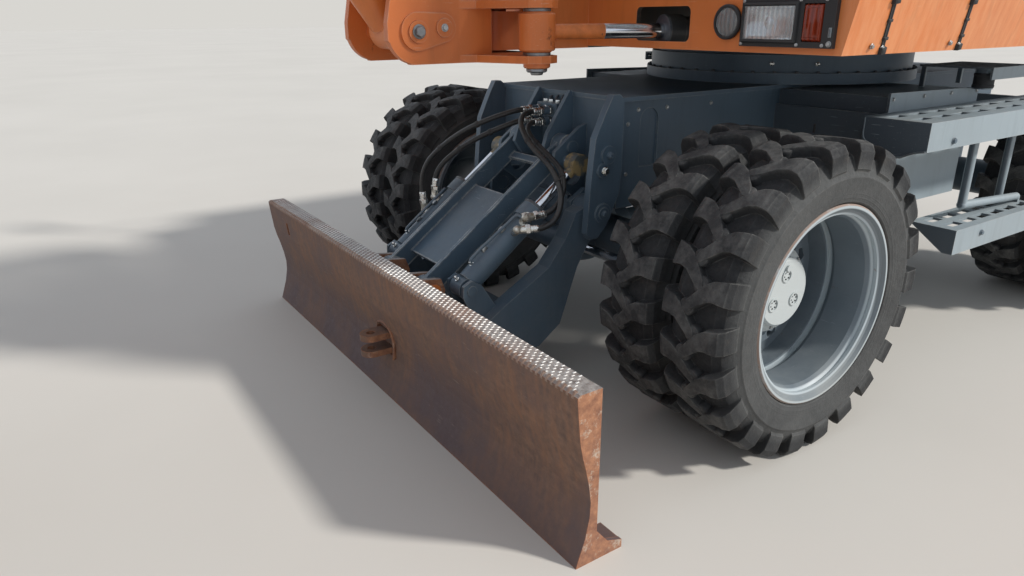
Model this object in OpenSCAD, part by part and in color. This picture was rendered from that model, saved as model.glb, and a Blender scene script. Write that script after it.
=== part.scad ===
// Wheeled excavator with twin tyres, a dozer blade at the front and an offset-swing boom.
// Millimetres. +X is the machine's front, +Y its left, +Z up; the ground is z = 0.
// The body modules are drawn from the slewing centre and moved as one at the end,
// so that the origin lies under the middle of the whole machine.

/* [Wheels] */
// Radius of a tyre to the tips of its lugs
tyre_r = 523; // [420:1:600]
// Width of one tyre
tyre_w = 245; // [180:1:300]
// Space between the two tyres of a pair
twin_gap = 35; // [20:1:80]
// Outer width over the tyres
track_w = 2490; // [2200:5:2600]
// Distance from the front axle to the rear one
wheelbase = 2500; // [2200:10:3000]
// How far the front axle lies ahead of the slewing centre
axle_fwd = 1250; // [1000:10:1500]
// Radius of the rim's outer flange
rim_flange_r = 332; // [250:1:380]
// Height of a lug
lug_h = 32; // [10:1:38]
// Number of long lugs on a tyre
lug_count = 22; // [16:1:32]
// Radius of the planetary hub's end cover
hub_cover_r = 120; // [90:1:160]

/* [Steering] */
// Distance from the middle of the machine to a kingpin
kingpin_y = 580; // [500:1:620]
// Distance from the axle to the steering cylinder in front of it
steer_fwd = 215; // [150:1:240]

/* [Undercarriage] */
// Half width of the chassis over its side plates
chassis_hw = 410; // [350:1:440]
// Height of the chassis's top plate
chassis_top = 1112; // [1000:1:1150]
// Height of the chassis's underside over the axles
chassis_low = 690; // [660:1:740]
// Thickness of the chassis's side plates
side_t = 30; // [15:1:45]
// Outer radius of the slewing ring
ring_r = 640; // [550:1:700]
// Half width over the access steps
step_hw = 1150; // [1050:1:1240]

/* [Blade] */
// Half width of the blade
blade_hw = 1240; // [1150:1:1245]
// Height of the blade's top plate
blade_h = 527; // [450:1:600]
// Place of the blade's front edge ahead of the slewing centre
blade_x = 2267; // [2200:1:2400]
// Length of a push arm from pin to pin, along X
arm_run = 640; // [550:1:700]
// Drop of a push arm from pin to pin
arm_drop = 470; // [400:1:520]

/* [Upper structure] */
// Height of the upper frame's underside
deck_low = 1283; // [1250:1:1320]
// Depth of the upper frame
deck_h = 167; // [120:1:220]
// Half width of the upper frame
deck_hw = 1200; // [1100:1:1240]
// Place of the upper frame's front face
deck_front = 1320; // [1200:1:1400]
// How far the body's sides lean out over the upper frame
skirt_out = 35; // [0:1:45]
// Radius of the counterweight's back from the slewing centre
tail_r = 1750; // [1600:10:1900]
// Height of the engine hood
hood_top = 2180; // [2000:10:2300]
// Height of the cab's roof
cab_top = 3080; // [2900:10:3150]
// Thickness of the cab's posts and walls
cab_t = 45; // [30:1:70]
// Width of the cab
cab_w = 985; // [850:5:1050]
// Thickness of the body's sheet panels
sheet_t = 20; // [10:1:30]

/* [Swing post] */
// Place of the swing post's upright axis
post_x = 1700; // [1600:1:1800]
// Height of the post's lowest plate
post_low = 1243; // [1230:1:1260]

/* [Boom, arm and bucket] */
// Boom foot pin, ahead of the slewing centre
foot_x = 1880; // [1800:1:1950]
// Boom foot pin's height
foot_z = 1790; // [1700:1:1850]
// Boom length from foot pin to tip pin, along X
boom_run = 3595; // [3200:5:3900]
// Rise of the boom from foot pin to tip pin
boom_rise = 1650; // [1400:5:1900]
// Arm length from pin to pin
arm_len = 2043; // [1800:1:2300]
// Lean of the arm back from straight down
arm_lean = 22.3; // [10:0.1:35]
// Width of the boom
boom_w = 260; // [200:1:320]
// Width of the bucket
bucket_w = 900; // [600:10:1100]
// Distance from the bucket's pin to its cutting edge
bucket_edge = 1063; // [900:1:1200]
// How far a tooth stands out of the edge
bucket_tooth = 120; // [60:5:160]

/* [Clearances] */
// Side play between a moving eye and its lugs
side_play = 3; // [1:0.5:6]
// Gap around a moving cover or door
door_gap = 6; // [4:0.5:10]
// Radial play between a rod and its gland
gland_play = 0.3; // [0.1:0.1:1]

/* [Hidden] */
$fn = 64;
wheel_z = tyre_r;
rear_x = axle_fwd - wheelbase;
out_y = track_w / 2;
outer_y0 = out_y - tyre_w;
inner_y1 = outer_y0 - twin_gap;
inner_y0 = inner_y1 - tyre_w;
bead_r = rim_flange_r - 22;
well_r = rim_flange_r - 47;
ring_top = deck_low;
foot = [foot_x, foot_z];
tip = foot + [boom_run, boom_rise];
arm_u = [-sin(arm_lean), -cos(arm_lean)];
arm_n = [cos(arm_lean), -sin(arm_lean)];
function on_arm(s, t) = tip + s * arm_u + t * arm_n;
arm_back = 450;
bucket_pin = on_arm(arm_len, 0);
rocker_pin = on_arm(arm_len - 360, 0);
rocker_r = 340;
rocker_a = 45;
rocker_end = rocker_pin + rocker_r * (cos(rocker_a) * arm_u + sin(rocker_a) * arm_n);
ear_r = rocker_r;
ear_a = rocker_a;
ear_pin = bucket_pin + ear_r * (cos(ear_a) * arm_u + sin(ear_a) * arm_n);
bucket_cyl_pin = on_arm(260, 330);
arm_cyl_pin = on_arm(-arm_back, 0);
arm_cyl_foot = [3750, 3545];
lift_foot = [2110, 1347];
lift_eye = [3040, 2640];
boss_r = 95;
x_front = arm_cyl_pin[0] + boss_r;
x_mid = (x_front - tail_r) / 2;
push_pin = [1483, 691];
push_foot = push_pin + [arm_run, -arm_drop];
link_pin = [1465, 910];
link_foot = link_pin + [arm_run, -arm_drop];
blade_cyl_eye = [1490, 855];
blade_cyl_foot = [2010, 460];
swing_eye = [post_x + 50, 350];
swing_foot = [690, 640];
blade_cyl_y = 260;
hose_r = 11;
// Routes of the four hoses from the valve block to the blade cylinders: left pair, then right pair.
hose_routes = [
  [[1490, 26, 1035], [1543, 26, 1035], [1592, 42, 1025], [1624, 75, 1001], [1639, 116, 971],
   [1642, 157, 938], [1636, 199, 906], [1627, 243, 877], [1623, 284, 845], [1626, 321, 807],
   [1635, 350, 764], [1656, 368, 719], [1692, 375, 681], [1740, 368, 664], [1790, 350, 664]],
  [[1484, 26, 992], [1535, 26, 992], [1577, 54, 978], [1596, 95, 956], [1596, 140, 929],
   [1588, 183, 901], [1579, 226, 874], [1576, 267, 844], [1587, 302, 806], [1608, 323, 765],
   [1642, 333, 728], [1689, 334, 705], [1740, 328, 702]],
  [[1490, -50, 1035], [1554, -50, 1035], [1611, -74, 1020], [1661, -108, 999], [1705, -147, 974],
   [1744, -188, 944], [1779, -229, 908], [1810, -268, 868], [1835, -305, 823], [1851, -331, 767],
   [1855, -341, 704], [1852, -336, 640]],
  [[1484, -50, 992], [1546, -50, 992], [1599, -79, 972], [1643, -117, 948], [1681, -159, 920],
   [1714, -201, 890], [1748, -240, 854], [1780, -275, 813], [1805, -299, 762], [1812, -302, 700]]];
hub_y = kingpin_y + 176;
swing_z = 1343;
axle_pin_z = 640;
tow_z = [162, 226];
gusset_back = 1394;
step_front = 650;
tow_out = 14;
diff_r = chassis_low - wheel_z - 3;
deck_top = deck_low + deck_h;
body_hw = deck_hw + skirt_out;
body_back = -tail_r + 350;
weight_front = -1150;
side_top = hood_top - 130;
cab_y1 = body_hw - 40;
floor_z = deck_top + 50;
cab_y0 = cab_y1 - cab_w;
seat_y = cab_y1 - 495;
door_hinge_y = cab_y1 + 14;
door_hinge_x = 546;
hinge_z = [1750, 2650];
hood_hinge_x = -1040;
hood_hinge_z = 2142;
hood_hinge_y = [-500, 700];
post_pin_r = 50;
nose_low = [post_low + 33, 1410];
nose_z = [1560, 1650];

slate = [0.33, 0.38, 0.44];
grey = [0.62, 0.64, 0.65];
orange = [0.82, 0.38, 0.15];
rust = [0.42, 0.24, 0.16];
black = [0.10, 0.10, 0.10];
chrome = [0.80, 0.80, 0.82];
glass = [0.6, 0.7, 0.75, 0.4];

// A plate with an outline in the X-Z plane, from y0 to y1.
module plate(pts, y0, y1) {
  translate([0, y1, 0]) rotate([90, 0, 0]) linear_extrude(y1 - y0) polygon(pts);
}

// A shaft or boss along Y at p = [x, z].
module boss(p, r, y0, y1) {
  translate([p[0], y1, p[1]]) rotate([90, 0, 0]) cylinder(r = r, h = y1 - y0);
}

module box(lo, hi) { translate(lo) cube(hi - lo); }

// A plate with an outline in the Y-Z plane, from x0 to x1.
module across(pts, x0, x1) {
  translate([x0, 0, 0]) rotate([90, 0, 90]) linear_extrude(x1 - x0) polygon(pts);
}

// A round bar or tube from p to q.
module bar(p, q, r) {
  v = q - p;
  translate(p) rotate([0, acos(v[2] / norm(v)), atan2(v[1], v[0])]) cylinder(r = r, h = norm(v));
}

module both_sides() { children(); mirror([0, 1, 0]) children(); }

// Places its children with local X along the line from a to b, both [x, z], at y.
module along(a, b, y = 0) {
  translate([a[0], y, a[1]]) rotate([0, -atan2(b[1] - a[1], b[0] - a[0]), 0]) children();
}

function dist(a, b) = norm(b - a);

// A hollow cylinder barrel from its foot pin a towards b.
module barrel(a, b, len, r, rod_r, eye_r, eye_w, pin_r, y = 0) {
  along(a, b, y) difference() {
    union() {
      rotate([90, 0, 0]) translate([0, 0, -eye_w / 2]) cylinder(r = eye_r, h = eye_w);
      translate([eye_r * 0.6, 0, 0]) rotate([0, 90, 0]) cylinder(r = r, h = len - eye_r * 0.6);
      translate([len - 60, 0, 0]) rotate([0, 90, 0]) cylinder(r = r + 8, h = 60);
    }
    rotate([90, 0, 0]) translate([0, 0, -eye_w / 2 - 1]) cylinder(r = pin_r, h = eye_w + 2);
    translate([eye_r + 15, 0, 0]) rotate([0, 90, 0]) cylinder(r = r - 10, h = len - eye_r - 60);
    translate([len - 50, 0, 0]) rotate([0, 90, 0])
      cylinder(r = rod_r + gland_play, h = 60);
  }
}

// The rod of that cylinder: its eye is at b, and its piston end is inside the barrel.
module rod(a, b, rod_len, r, rod_r, eye_r, eye_w, y = 0) {
  along(b, a, y) {
    rotate([90, 0, 0]) translate([0, 0, -eye_w / 2]) cylinder(r = eye_r, h = eye_w);
    translate([eye_r * 0.6, 0, 0]) rotate([0, 90, 0]) cylinder(r = rod_r, h = rod_len - eye_r * 0.6);
    translate([rod_len - 35, 0, 0]) rotate([0, 90, 0]) cylinder(r = r - 10.3, h = 35);
  }
}

// Wheels: tyres, rims and hubs.
// One tyre along local Z: carcass, then two rows of lugs that meet in a V.
module tyre(y0) {
  w = tyre_w;
  c = tyre_r - lug_h;
  belly = (c + bead_r) / 2 + 16;
  translate([0, y0, 0]) rotate([-90, 0, 0]) {
    rotate_extrude($fn = 96) polygon([
      [bead_r + 0.3, 30], [rim_flange_r, 24.3], [rim_flange_r + 6, 12], [rim_flange_r + 22, 8], [belly - 6, 1],
      [belly, 0], [belly + 6, 4], [c - 52, 10], [c - 18, 26], [c - 3, 52], [c, w / 2], [c - 3, w - 52], [c - 18, w - 26],
      [c - 52, w - 10], [belly + 6, w - 4], [belly, w], [belly - 6, w - 1], [rim_flange_r + 22, w - 8],
      [rim_flange_r + 6, w - 12], [rim_flange_r, w - 24.3], [bead_r + 0.3, w - 30]]);
    intersection() {
      rotate_extrude($fn = 96) polygon([
        [c - 66, 12], [c - 50, 2], [tyre_r - 30, 3], [tyre_r - 8, 14], [tyre_r, 34],
        [tyre_r, w - 34], [tyre_r - 8, w - 14], [tyre_r - 30, w - 3], [c - 50, w - 2], [c - 66, w - 12]]);
      for (k = [0 : lug_count - 1]) {
        rotate([0, 0, k * 360 / lug_count]) lug(w);
        rotate([0, 0, (k + 0.5) * 360 / lug_count]) translate([0, 0, w]) mirror([0, 0, 1]) lug(w);
      }
    }
  }
}

// A lug of the outer row: a wide shoulder block and a bar that leans to the middle of the tread.
module lug(w) {
  translate([tyre_r - 95, 0, 0]) rotate([0, 90, 0]) linear_extrude(110)
    polygon([[-w - 1, -42], [-w - 1, 34], [-0.80 * w, 30], [-0.70 * w, 36], [-0.47 * w, 80], [-0.42 * w, 82],
             [-0.39 * w, 70], [-0.41 * w, 52], [-0.64 * w, -12], [-0.76 * w, -30]]);
}

module tyres(x, side) {
  color(black) translate([x, 0, wheel_z]) mirror([0, side < 0 ? 1 : 0, 0]) {
    tyre(outer_y0);
    tyre(inner_y0);
  }
}

// Double rim with its disc and the planetary hub, along local Z from the machine's middle outwards.
module rim(x, side) {
  disc_y = inner_y1 + 6;
  color(grey) translate([x, 0, wheel_z]) mirror([0, side < 0 ? 1 : 0, 0]) rotate([-90, 0, 0]) {
    difference() {
      union() {
        for (y0 = [outer_y0, inner_y0]) translate([0, 0, y0]) rotate_extrude($fn = 96) polygon([
          [bead_r - 11, 20], [rim_flange_r - 16, 12], [rim_flange_r - 5, 12], [rim_flange_r, 17], [rim_flange_r, 24],
          [bead_r, 29], [bead_r, 66], [well_r + 10, 84], [well_r + 10, tyre_w - 84], [bead_r, tyre_w - 66],
          [bead_r, tyre_w - 29], [rim_flange_r, tyre_w - 24], [rim_flange_r, tyre_w - 17], [rim_flange_r - 5, tyre_w - 12],
          [rim_flange_r - 14, tyre_w - 12], [rim_flange_r - 20, tyre_w - 24], [bead_r - 13, tyre_w - 30],
          [bead_r - 13, tyre_w - 40], [bead_r - 10, tyre_w - 45], [well_r + 6, tyre_w - 54], [well_r, tyre_w - 66],
          [well_r, 66], [well_r + 6, 54], [bead_r - 11, 46]]);
        translate([0, 0, inner_y1 - 30]) cylinder(r = bead_r - 5, h = twin_gap + 60);
        // Planetary hub.
        rotate_extrude($fn = 96) polygon([
          [0, hub_y], [150, hub_y], [150, disc_y + 24], [138, disc_y + 34], [hub_cover_r + 14, outer_y0 + 34],
          [hub_cover_r + 14, outer_y0 + 50], [hub_cover_r, outer_y0 + 52], [hub_cover_r, outer_y0 + 66],
          [hub_cover_r - 8, outer_y0 + 74], [0, outer_y0 + 74]]);
      }
      // Space on both sides of the dished disc.
      rotate_extrude($fn = 96) polygon([
        [151, inner_y1 - 90], [well_r, inner_y1 - 90], [well_r, disc_y - 22], [236, disc_y - 22], [216, disc_y],
        [151, disc_y]]);
      rotate_extrude($fn = 96) polygon([
        [151, outer_y0 + 90], [well_r, outer_y0 + 90], [well_r, disc_y - 8], [244, disc_y - 8], [222, disc_y + 16],
        [151, disc_y + 16]]);
      for (k = [0 : 7]) rotate([0, 0, 22.5 + k * 45]) translate([205, 0, disc_y - 30]) cylinder(r = 24, h = 60);
    }
    // Wheel nuts and the three round marks and plug of the end cover.
    for (k = [0 : 9]) rotate([0, 0, k * 36]) translate([168, 0, disc_y + 15]) cylinder(r = 16, h = 20, $fn = 6);
    for (k = [0 : 2]) rotate([0, 0, 30 + k * 120]) translate([62, 0, outer_y0 + 73]) difference() {
      cylinder(r = 24, h = 5);
      translate([0, 0, 1]) cylinder(r = 19, h = 5);
    }
    translate([0, -88, outer_y0 + 73]) cylinder(r = 11, h = 9);
  }
}

// Steering and the axles.
module knuckle(side) {
  color(slate) translate([axle_fwd, 0, wheel_z]) mirror([0, side < 0 ? 1 : 0, 0]) {
    difference() {
      union() {
        translate([0, kingpin_y, -105]) cylinder(r = 62, h = 210);
        translate([0, kingpin_y + 50, 0]) rotate([-90, 0, 0]) cylinder(r = 90, h = hub_y - kingpin_y - 50.5);
        translate([0, 0, -70]) linear_extrude(39) polygon([[0, kingpin_y - 28], [130, kingpin_y - 32],
          [steer_fwd + 20, kingpin_y - 46], [steer_fwd + 40, kingpin_y - 20], [steer_fwd + 30, kingpin_y + 20],
          [100, kingpin_y + 60], [0, kingpin_y + 60]]);
      }
      translate([0, kingpin_y, -110]) cylinder(r = 28, h = 220);
    }
  }
}

module steer_rod() {
  color(chrome) translate([axle_fwd + steer_fwd, 0, wheel_z]) {
    translate([0, kingpin_y - 40, 0]) rotate([90, 0, 0]) cylinder(r = 20, h = 2 * (kingpin_y - 40));
    both_sides() translate([0, kingpin_y - 20, -28]) cylinder(r = 34, h = 56);
  }
}

shaft_drop = 12;
module front_axle() {
  color(slate) translate([axle_fwd, 0, wheel_z]) difference() {
    union() {
      // Tube, differential housing and the nose that the propeller shaft meets.
      rotate([90, 0, 0]) translate([0, 0, -kingpin_y + 90]) cylinder(r = 85, h = 2 * (kingpin_y - 90));
      sphere(r = diff_r);
      translate([-235, 0, -shaft_drop]) rotate([0, 90, 0]) cylinder(r = 72, h = 120);
      both_sides() {
        difference() {
          box([-75, kingpin_y - 120, -170], [75, kingpin_y + 62, 170]);
          box([-76, kingpin_y - 80, -110], [76, kingpin_y + 63, 110]);
        }
        translate([0, kingpin_y, -185]) cylinder(r = 27.8, h = 370);
        box([60, 120, -40], [steer_fwd - 40, 200, 40]);
      }
      // Steering cylinder ahead of the tube.
      difference() {
        rotate([90, 0, 0]) translate([steer_fwd, 0, -230]) cylinder(r = 48, h = 460);
        rotate([90, 0, 0]) translate([steer_fwd, 0, -231]) cylinder(r = 20.3, h = 462);
      }
      box([-118, -105, 90], [118, 105, axle_pin_z - wheel_z + 44]);
    }
    translate([-200, 0, axle_pin_z - wheel_z]) rotate([0, 90, 0]) cylinder(r = 34.2, h = 400);
  }
}

module rear_axle() {
  color(slate) translate([rear_x, 0, wheel_z]) {
    rotate([90, 0, 0]) translate([0, 0, -hub_y + 0.5]) cylinder(r = 95, h = 2 * (hub_y - 0.5));
    sphere(r = diff_r);
    both_sides() box([-110, 180, 60], [110, 360, chassis_low - wheel_z]);
    // Gearbox and propeller shaft.
    translate([100, 0, 0]) rotate([0, 90, 0]) cylinder(r = 128, h = 340);
    translate([300, 0, -shaft_drop]) rotate([0, 90, 0]) cylinder(r = 42, h = wheelbase - 300 - 235.3);
  }
}

// Chassis: frame, slewing ring and steps.
module frame() {
  side_y = chassis_hw - 25;
  color(slate) difference() {
    union() {
      // Box of the chassis: sides, top, belly and cross plates.
      difference() {
        box([rear_x - 250, -side_y, chassis_low], [gusset_back, side_y, chassis_top - 16]);
        box([rear_x - 232, -side_y + side_t, chassis_low + 14], [gusset_back - 20, side_y - side_t, chassis_top]);
        both_sides() {
          // Recess with a round top behind the front plate, and two small holes.
          box([1192, side_y - 8, 842], [1285, side_y + 1, 1020]);
          boss([1238.5, 1018], 46, side_y - 8, side_y + 1);
          for (z = [1010, 820]) boss([1350, z], 8, side_y - 12, side_y + 1);
        }
      }
      box([rear_x - 250, -chassis_hw, chassis_top - 16], [gusset_back + 6, chassis_hw, chassis_top]);
      for (x = [600, -600]) box([x, -side_y, chassis_low], [x + 20, side_y, chassis_top - 10]);
      // Front plates that carry the blade's linkage: outer pair, middle pair and the pointed inner pair.
      both_sides() {
        plate([[gusset_back, 838], [gusset_back, chassis_top - 5], [1418, chassis_top + 13], [1448, chassis_top + 13],
          [1480, 1068], [1526, 971], [1545, 780], [1556, 620], [1540, 595], [1504, 595], [1460, 640], [1400, 760]],
          chassis_hw - 32, chassis_hw);
        plate([[gusset_back - 10, 700], [gusset_back - 10, 1000], [1430, 985], [1548, 900], [1560, 830],
          [1530, 770], [1440, 700]], 180, 198);
        plate([[gusset_back - 10, 840], [gusset_back - 10, chassis_top - 6], [1412, chassis_top + 6], [1520, 960],
          [1538, 905], [1500, 850]], 92, 112);
        plate([[gusset_back - 10, 640], [gusset_back - 10, 760], [1470, 765], [1542, 720], [1545, 660], [1500, 630]], 268, 290);
        // Round covers of the pins, with their bolts.
        boss(link_pin, 34, chassis_hw - 1, chassis_hw + 8);
        boss(blade_cyl_eye, 27, chassis_hw - 1, chassis_hw + 8);
        boss(push_pin, 38, chassis_hw - 1, chassis_hw + 8);
        for (q = [link_pin, blade_cyl_eye]) boss(q, 12, chassis_hw + 7, chassis_hw + 16);
        boss(push_pin, 24, chassis_hw + 7, chassis_hw + 12);
      }
      // Slanted front wall behind the linkage and its lower cross plate.
      plate([[gusset_back - 20, chassis_low], [gusset_back - 20, chassis_top - 4], [gusset_back, chassis_top - 4],
        [gusset_back, chassis_low]], -side_y, side_y);
      plate([[gusset_back - 14, 655], [gusset_back - 14, chassis_low + 20], [gusset_back, chassis_low + 20],
        [1470, 655], [1470, 640], [1430, 640]], -268, 268);
      // Valve block with its fittings.
      box([gusset_back - 2, -70, 965], [gusset_back + 46, 60, 1062]);
      // A stub for each hose.
      for (h = hose_routes) translate([gusset_back + 40, h[0][1], h[0][2]]) rotate([0, 90, 0])
        cylinder(r = 16, h = h[0][0] - gusset_back - 40.3);
      // Bracket and pin that carry the front axle.
      for (x = [axle_fwd - 180, axle_fwd + 152]) plate([[x, 602], [x, 700], [x + 28, 700], [x + 28, 602]], -130, 130);
      translate([axle_fwd - 190, 0, axle_pin_z]) rotate([0, 90, 0]) cylinder(r = 34, h = 380);
      // Rear cross beam with the towing jaw.
      plate([[rear_x - 250, 760], [rear_x - 250, 960], [rear_x - 300, 930], [rear_x - 300, 790]], -300, 300);
      for (z = [820, 890]) box([rear_x - 390, -50, z], [rear_x - 290, 50, z + 22]);
    }
    both_sides() {
      boss(push_pin, 30.3, 260, chassis_hw - 1);
      boss(link_pin, 25.3, 80, 210);
      boss([link_pin[0] - 5, 800], 40, 80, 200);
    }
    translate([rear_x - 350, 0, 700]) cylinder(r = 16, h = 300);
  }
  // Pins of the push arms and of the upper links.
  color(slate) both_sides() {
    boss(push_pin, 30, 272, chassis_hw - 1);
    boss(link_pin, 25, 95, 205);
    boss(blade_cyl_eye, 26, 196, 222);
  }
}

module slew_ring() {
  color([0.2, 0.2, 0.21]) translate([0, 0, chassis_top]) difference() {
    union() {
      cylinder(r = ring_r, h = 46);
      cylinder(r = ring_r - 22, h = 120);
      cylinder(r = ring_r - 60, h = ring_top - chassis_top - 0.3);
    }
    translate([0, 0, -1]) cylinder(r = ring_r - 150, h = 400);
  }
}

module steps() {
  color(grey) both_sides() {
    // Side box with its hanging lower part.
    difference() {
      plate([[-160, 650], [-160, chassis_top - 18], [460, chassis_top - 18], [460, 760], [380, 650]], chassis_hw - 25, 890);
      plate([[-148, 662], [-148, chassis_top - 30], [448, chassis_top - 30], [448, 766], [374, 662]], chassis_hw - 26, 878);
    }
    plate([[-190, 925], [-190, 1100], [490, 1112], [490, 925]], 890, 900);
    // Upper step: a folded channel, closed by end plates, with slots in its tread.
    difference() {
      box([-690, 900, 1030], [step_front, step_hw, 1040]);
      for (k = [0 : 8], y = [960, 1050]) translate([-600 + k * 140, y, 1020]) cube([90, 36, 40]);
    }
    box([-690, step_hw - 8, 938], [step_front, step_hw, 1040]);
    for (x = [-690, step_front - 10]) translate([x, 0, 0]) rotate([90, 0, 90]) linear_extrude(10) difference() {
      polygon([[900, 1040], [step_hw, 1040], [step_hw, 938], [1110, 930], [1060, 905], [1000, 900], [950, 930], [900, 960]]);
    }
    for (x = [-680, -170, 470]) translate([x, 0, 0]) rotate([90, 0, 90]) linear_extrude(12)
      polygon([[chassis_hw - 25, 1030], [905, 1030], [905, 940], [chassis_hw - 25, 800]]);
    // Lower step, hung on bent tubes.
    difference() {
      box([-450, 960, 590], [305, step_hw, 600]);
      for (k = [0 : 5], y = [990, 1070]) translate([-420 + k * 118, y, 580]) cube([84, 40, 40]);
    }
    box([-450, step_hw - 8, 500], [305, step_hw, 600]);
    for (x = [-450, 295]) translate([x, 0, 0]) rotate([90, 0, 90]) linear_extrude(10)
      polygon([[960, 600], [step_hw, 600], [step_hw, 500], [step_hw - 40, 500]]);
    translate([-400, 985, 590]) cylinder(r = 17, h = 445);
    translate([95, 1055, 655]) cylinder(r = 17, h = 380);
    translate([95, 1055, 655]) sphere(r = 19);
    bar([95, 1055, 655], [-400, 1055, 625], 17);
    box([-412, 1042, 595], [-396, 1068, 630]);
  }
  // Cover plate beside the slewing ring, with its filter.
  color(grey) both_sides() {
    box([-420, 700, 1180], [-60, 1000, 1188]);
    box([-420, 992, 1140], [-60, 1000, 1188]);
    for (x = [-410, -90]) box([x, 700, chassis_top - 19], [x + 12, 720, 1184]);
    translate([-130, 940, 1098]) cylinder(r = 38, h = 84);
  }
}

// Blade with its arms, links, cylinders and hoses.
module blade() {
  back = blade_x - 79;
  color(rust) {
    difference() {
      union() {
        // Top plate with its rolled front edge, curved face plate and cutting edge, as one profile.
        plate([[blade_x - 8, blade_h], [blade_x, blade_h - 6], [blade_x, 513], [blade_x - 4, 470], [blade_x - 13, 387],
          [blade_x - 22, 345], [blade_x - 33, 306], [blade_x - 46, 250], [blade_x - 54, 196], [blade_x - 52, 149],
          [blade_x - 40, 90], [blade_x - 10, 0], [blade_x - 34, 0], [blade_x - 62, 86], [blade_x - 72, 146],
          [blade_x - 73, 200], [blade_x - 66, 250], [blade_x - 52, 308], [blade_x - 41, 347], [blade_x - 31, 390],
          [blade_x - 23, 470], [blade_x - 22, 512], [back, 512], [back, blade_h]],
          -blade_hw, blade_hw);
        // End plates with the shoe at the foot.
        both_sides() {
          plate([[back, blade_h - 2], [blade_x - 10, blade_h - 2], [blade_x - 10, 470], [blade_x - 35, 330],
            [blade_x - 60, 200], [blade_x - 50, 90], [blade_x - 20, 0], [blade_x - 172, 0], [blade_x - 172, 26],
            [blade_x - 120, 44], [back, 95]], blade_hw - 14, blade_hw);
          box([blade_x - 172, blade_hw - 90, 0], [blade_x - 30, blade_hw, 24]);
        }
        // Back: lower rail, upper rail and ribs.
        plate([[blade_x - 60, 118], [blade_x - 82, 118], [blade_x - 82, 182], [blade_x - 66, 182]], -blade_hw + 14, blade_hw - 14);
        plate([[back, 512], [back, 430], [back + 10, 430], [back + 10, 500], [blade_x - 24, 500], [blade_x - 24, 512]],
          -blade_hw + 14, blade_hw - 14);
        for (y = [-1000, -700, 700, 1000]) plate([[back, 440], [back, 180], [blade_x - 66, 180], [blade_x - 60, 300],
          [blade_x - 30, 440]], y - 8, y + 8);
        both_sides() {
          for (y = [290, 364]) plate([[blade_x - 60, 120], [push_foot[0] - 46, 150], [push_foot[0] - 58, push_foot[1]],
            [push_foot[0] - 40, 268], [blade_x - 40, 350]], y, y + 20);
          for (y = [92, 180]) plate([[blade_x - 60, 340], [link_foot[0] - 40, 395], [link_foot[0] - 50, link_foot[1]],
            [link_foot[0] - 34, 485], [blade_x - 30, 508]], y, y + 20);
        }
      }
      both_sides() {
        boss(push_foot, 30.3, 260, 410);
        boss(link_foot, 25.3, 80, 210);
      }
      // Slot in the face near the right end.
      box([blade_x - 90, -1005, 402], [blade_x + 1, -978, 460]);
      // Pocket of the towing jaw.
      box([blade_x - 90, -62, 150], [blade_x + 1, 62, 262]);
    }
    both_sides() {
      boss(push_foot, 30, 288, 386);
      boss(link_foot, 25, 90, 202);
    }
    // Towing jaw: a box set into the pocket, with two ears.
    difference() {
      union() {
        box([blade_x - 90, -70, 142], [blade_x - 60, 70, 270]);
        for (z = tow_z) {
          box([blade_x - 80, -42, z], [blade_x + tow_out, 42, z + 24]);
          translate([blade_x + tow_out, 0, z]) cylinder(r = 42, h = 24);
        }
      }
      translate([blade_x + tow_out, 0, 100]) cylinder(r = 16, h = 200);
    }
    both_sides() plate([[blade_x - 50, 150], [blade_x - 80, 150], [blade_x - 80, 262], [blade_x - 40, 262]], 62, 72);
  }
}

module blade_arms() {
  color(slate) {
    both_sides() difference() {
      union() {
        boss(push_pin, 56, 293, 367);
        // Box arm: two side plates with a top and a bottom plate.
        plate([[push_pin[0] - 20, push_pin[1] + 50], [push_pin[0] + 90, 694], [1620, 600], [1700, 500], [1900, 390],
          [2040, 300], [push_foot[0] + 20, push_foot[1] + 52], [push_foot[0] + 40, push_foot[1]], [push_foot[0] - 10, push_foot[1] - 54],
          [1960, 168], [1740, 190], [1640, 260], [1560, 480], [push_pin[0] - 20, push_pin[1] - 50]], 296, 364);
        boss(push_foot, 54, 313, 361);
      }
      boss(push_foot, 112, 240, 312.5);
      boss(push_foot, 112, 361.5, 420);
      boss(push_pin, 30.3, 280, 380);
      boss(push_foot, 30.3, 280, 420);
    }
    // Cross box between the arms, with the cylinders' ears.
    plate([[1780, 250], [1780, 330], [1960, 330], [2000, 290], [1990, 210], [1820, 200]], -300, 300);
    both_sides() difference() {
      for (y = [200, 306]) plate([[1870, 320], [1985, 310], [blade_cyl_foot[0] + 38, blade_cyl_foot[1] - 20],
        [blade_cyl_foot[0] + 36, blade_cyl_foot[1] + 22], [blade_cyl_foot[0], blade_cyl_foot[1] + 40],
        [blade_cyl_foot[0] - 40, blade_cyl_foot[1] + 16]], y, y + 14);
      boss(blade_cyl_foot, 20.3, 190, 330);
    }
    both_sides() boss(blade_cyl_foot, 20, 197, 323);
  }
}

// Upper link frame: two flat bars on edge with end bosses, tied by cross bars.
module blade_links() {
  color(slate) difference() {
    union() {
      both_sides() {
        boss(link_pin, 46, 116, 176);
        boss(link_foot, 46, 116, 176);
        along(link_pin, link_foot) translate([0, 138, -40]) cube([dist(link_pin, link_foot), 18, 80]);
      }
      along(link_pin, link_foot) {
        translate([300, -150, -14]) cube([390, 300, 14]);
        translate([70, -150, -34]) cube([34, 300, 14]);
      }
    }
    both_sides() {
      boss(link_pin, 25.3, 100, 190);
      boss(link_foot, 25.3, 100, 190);
    }
  }
}

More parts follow.
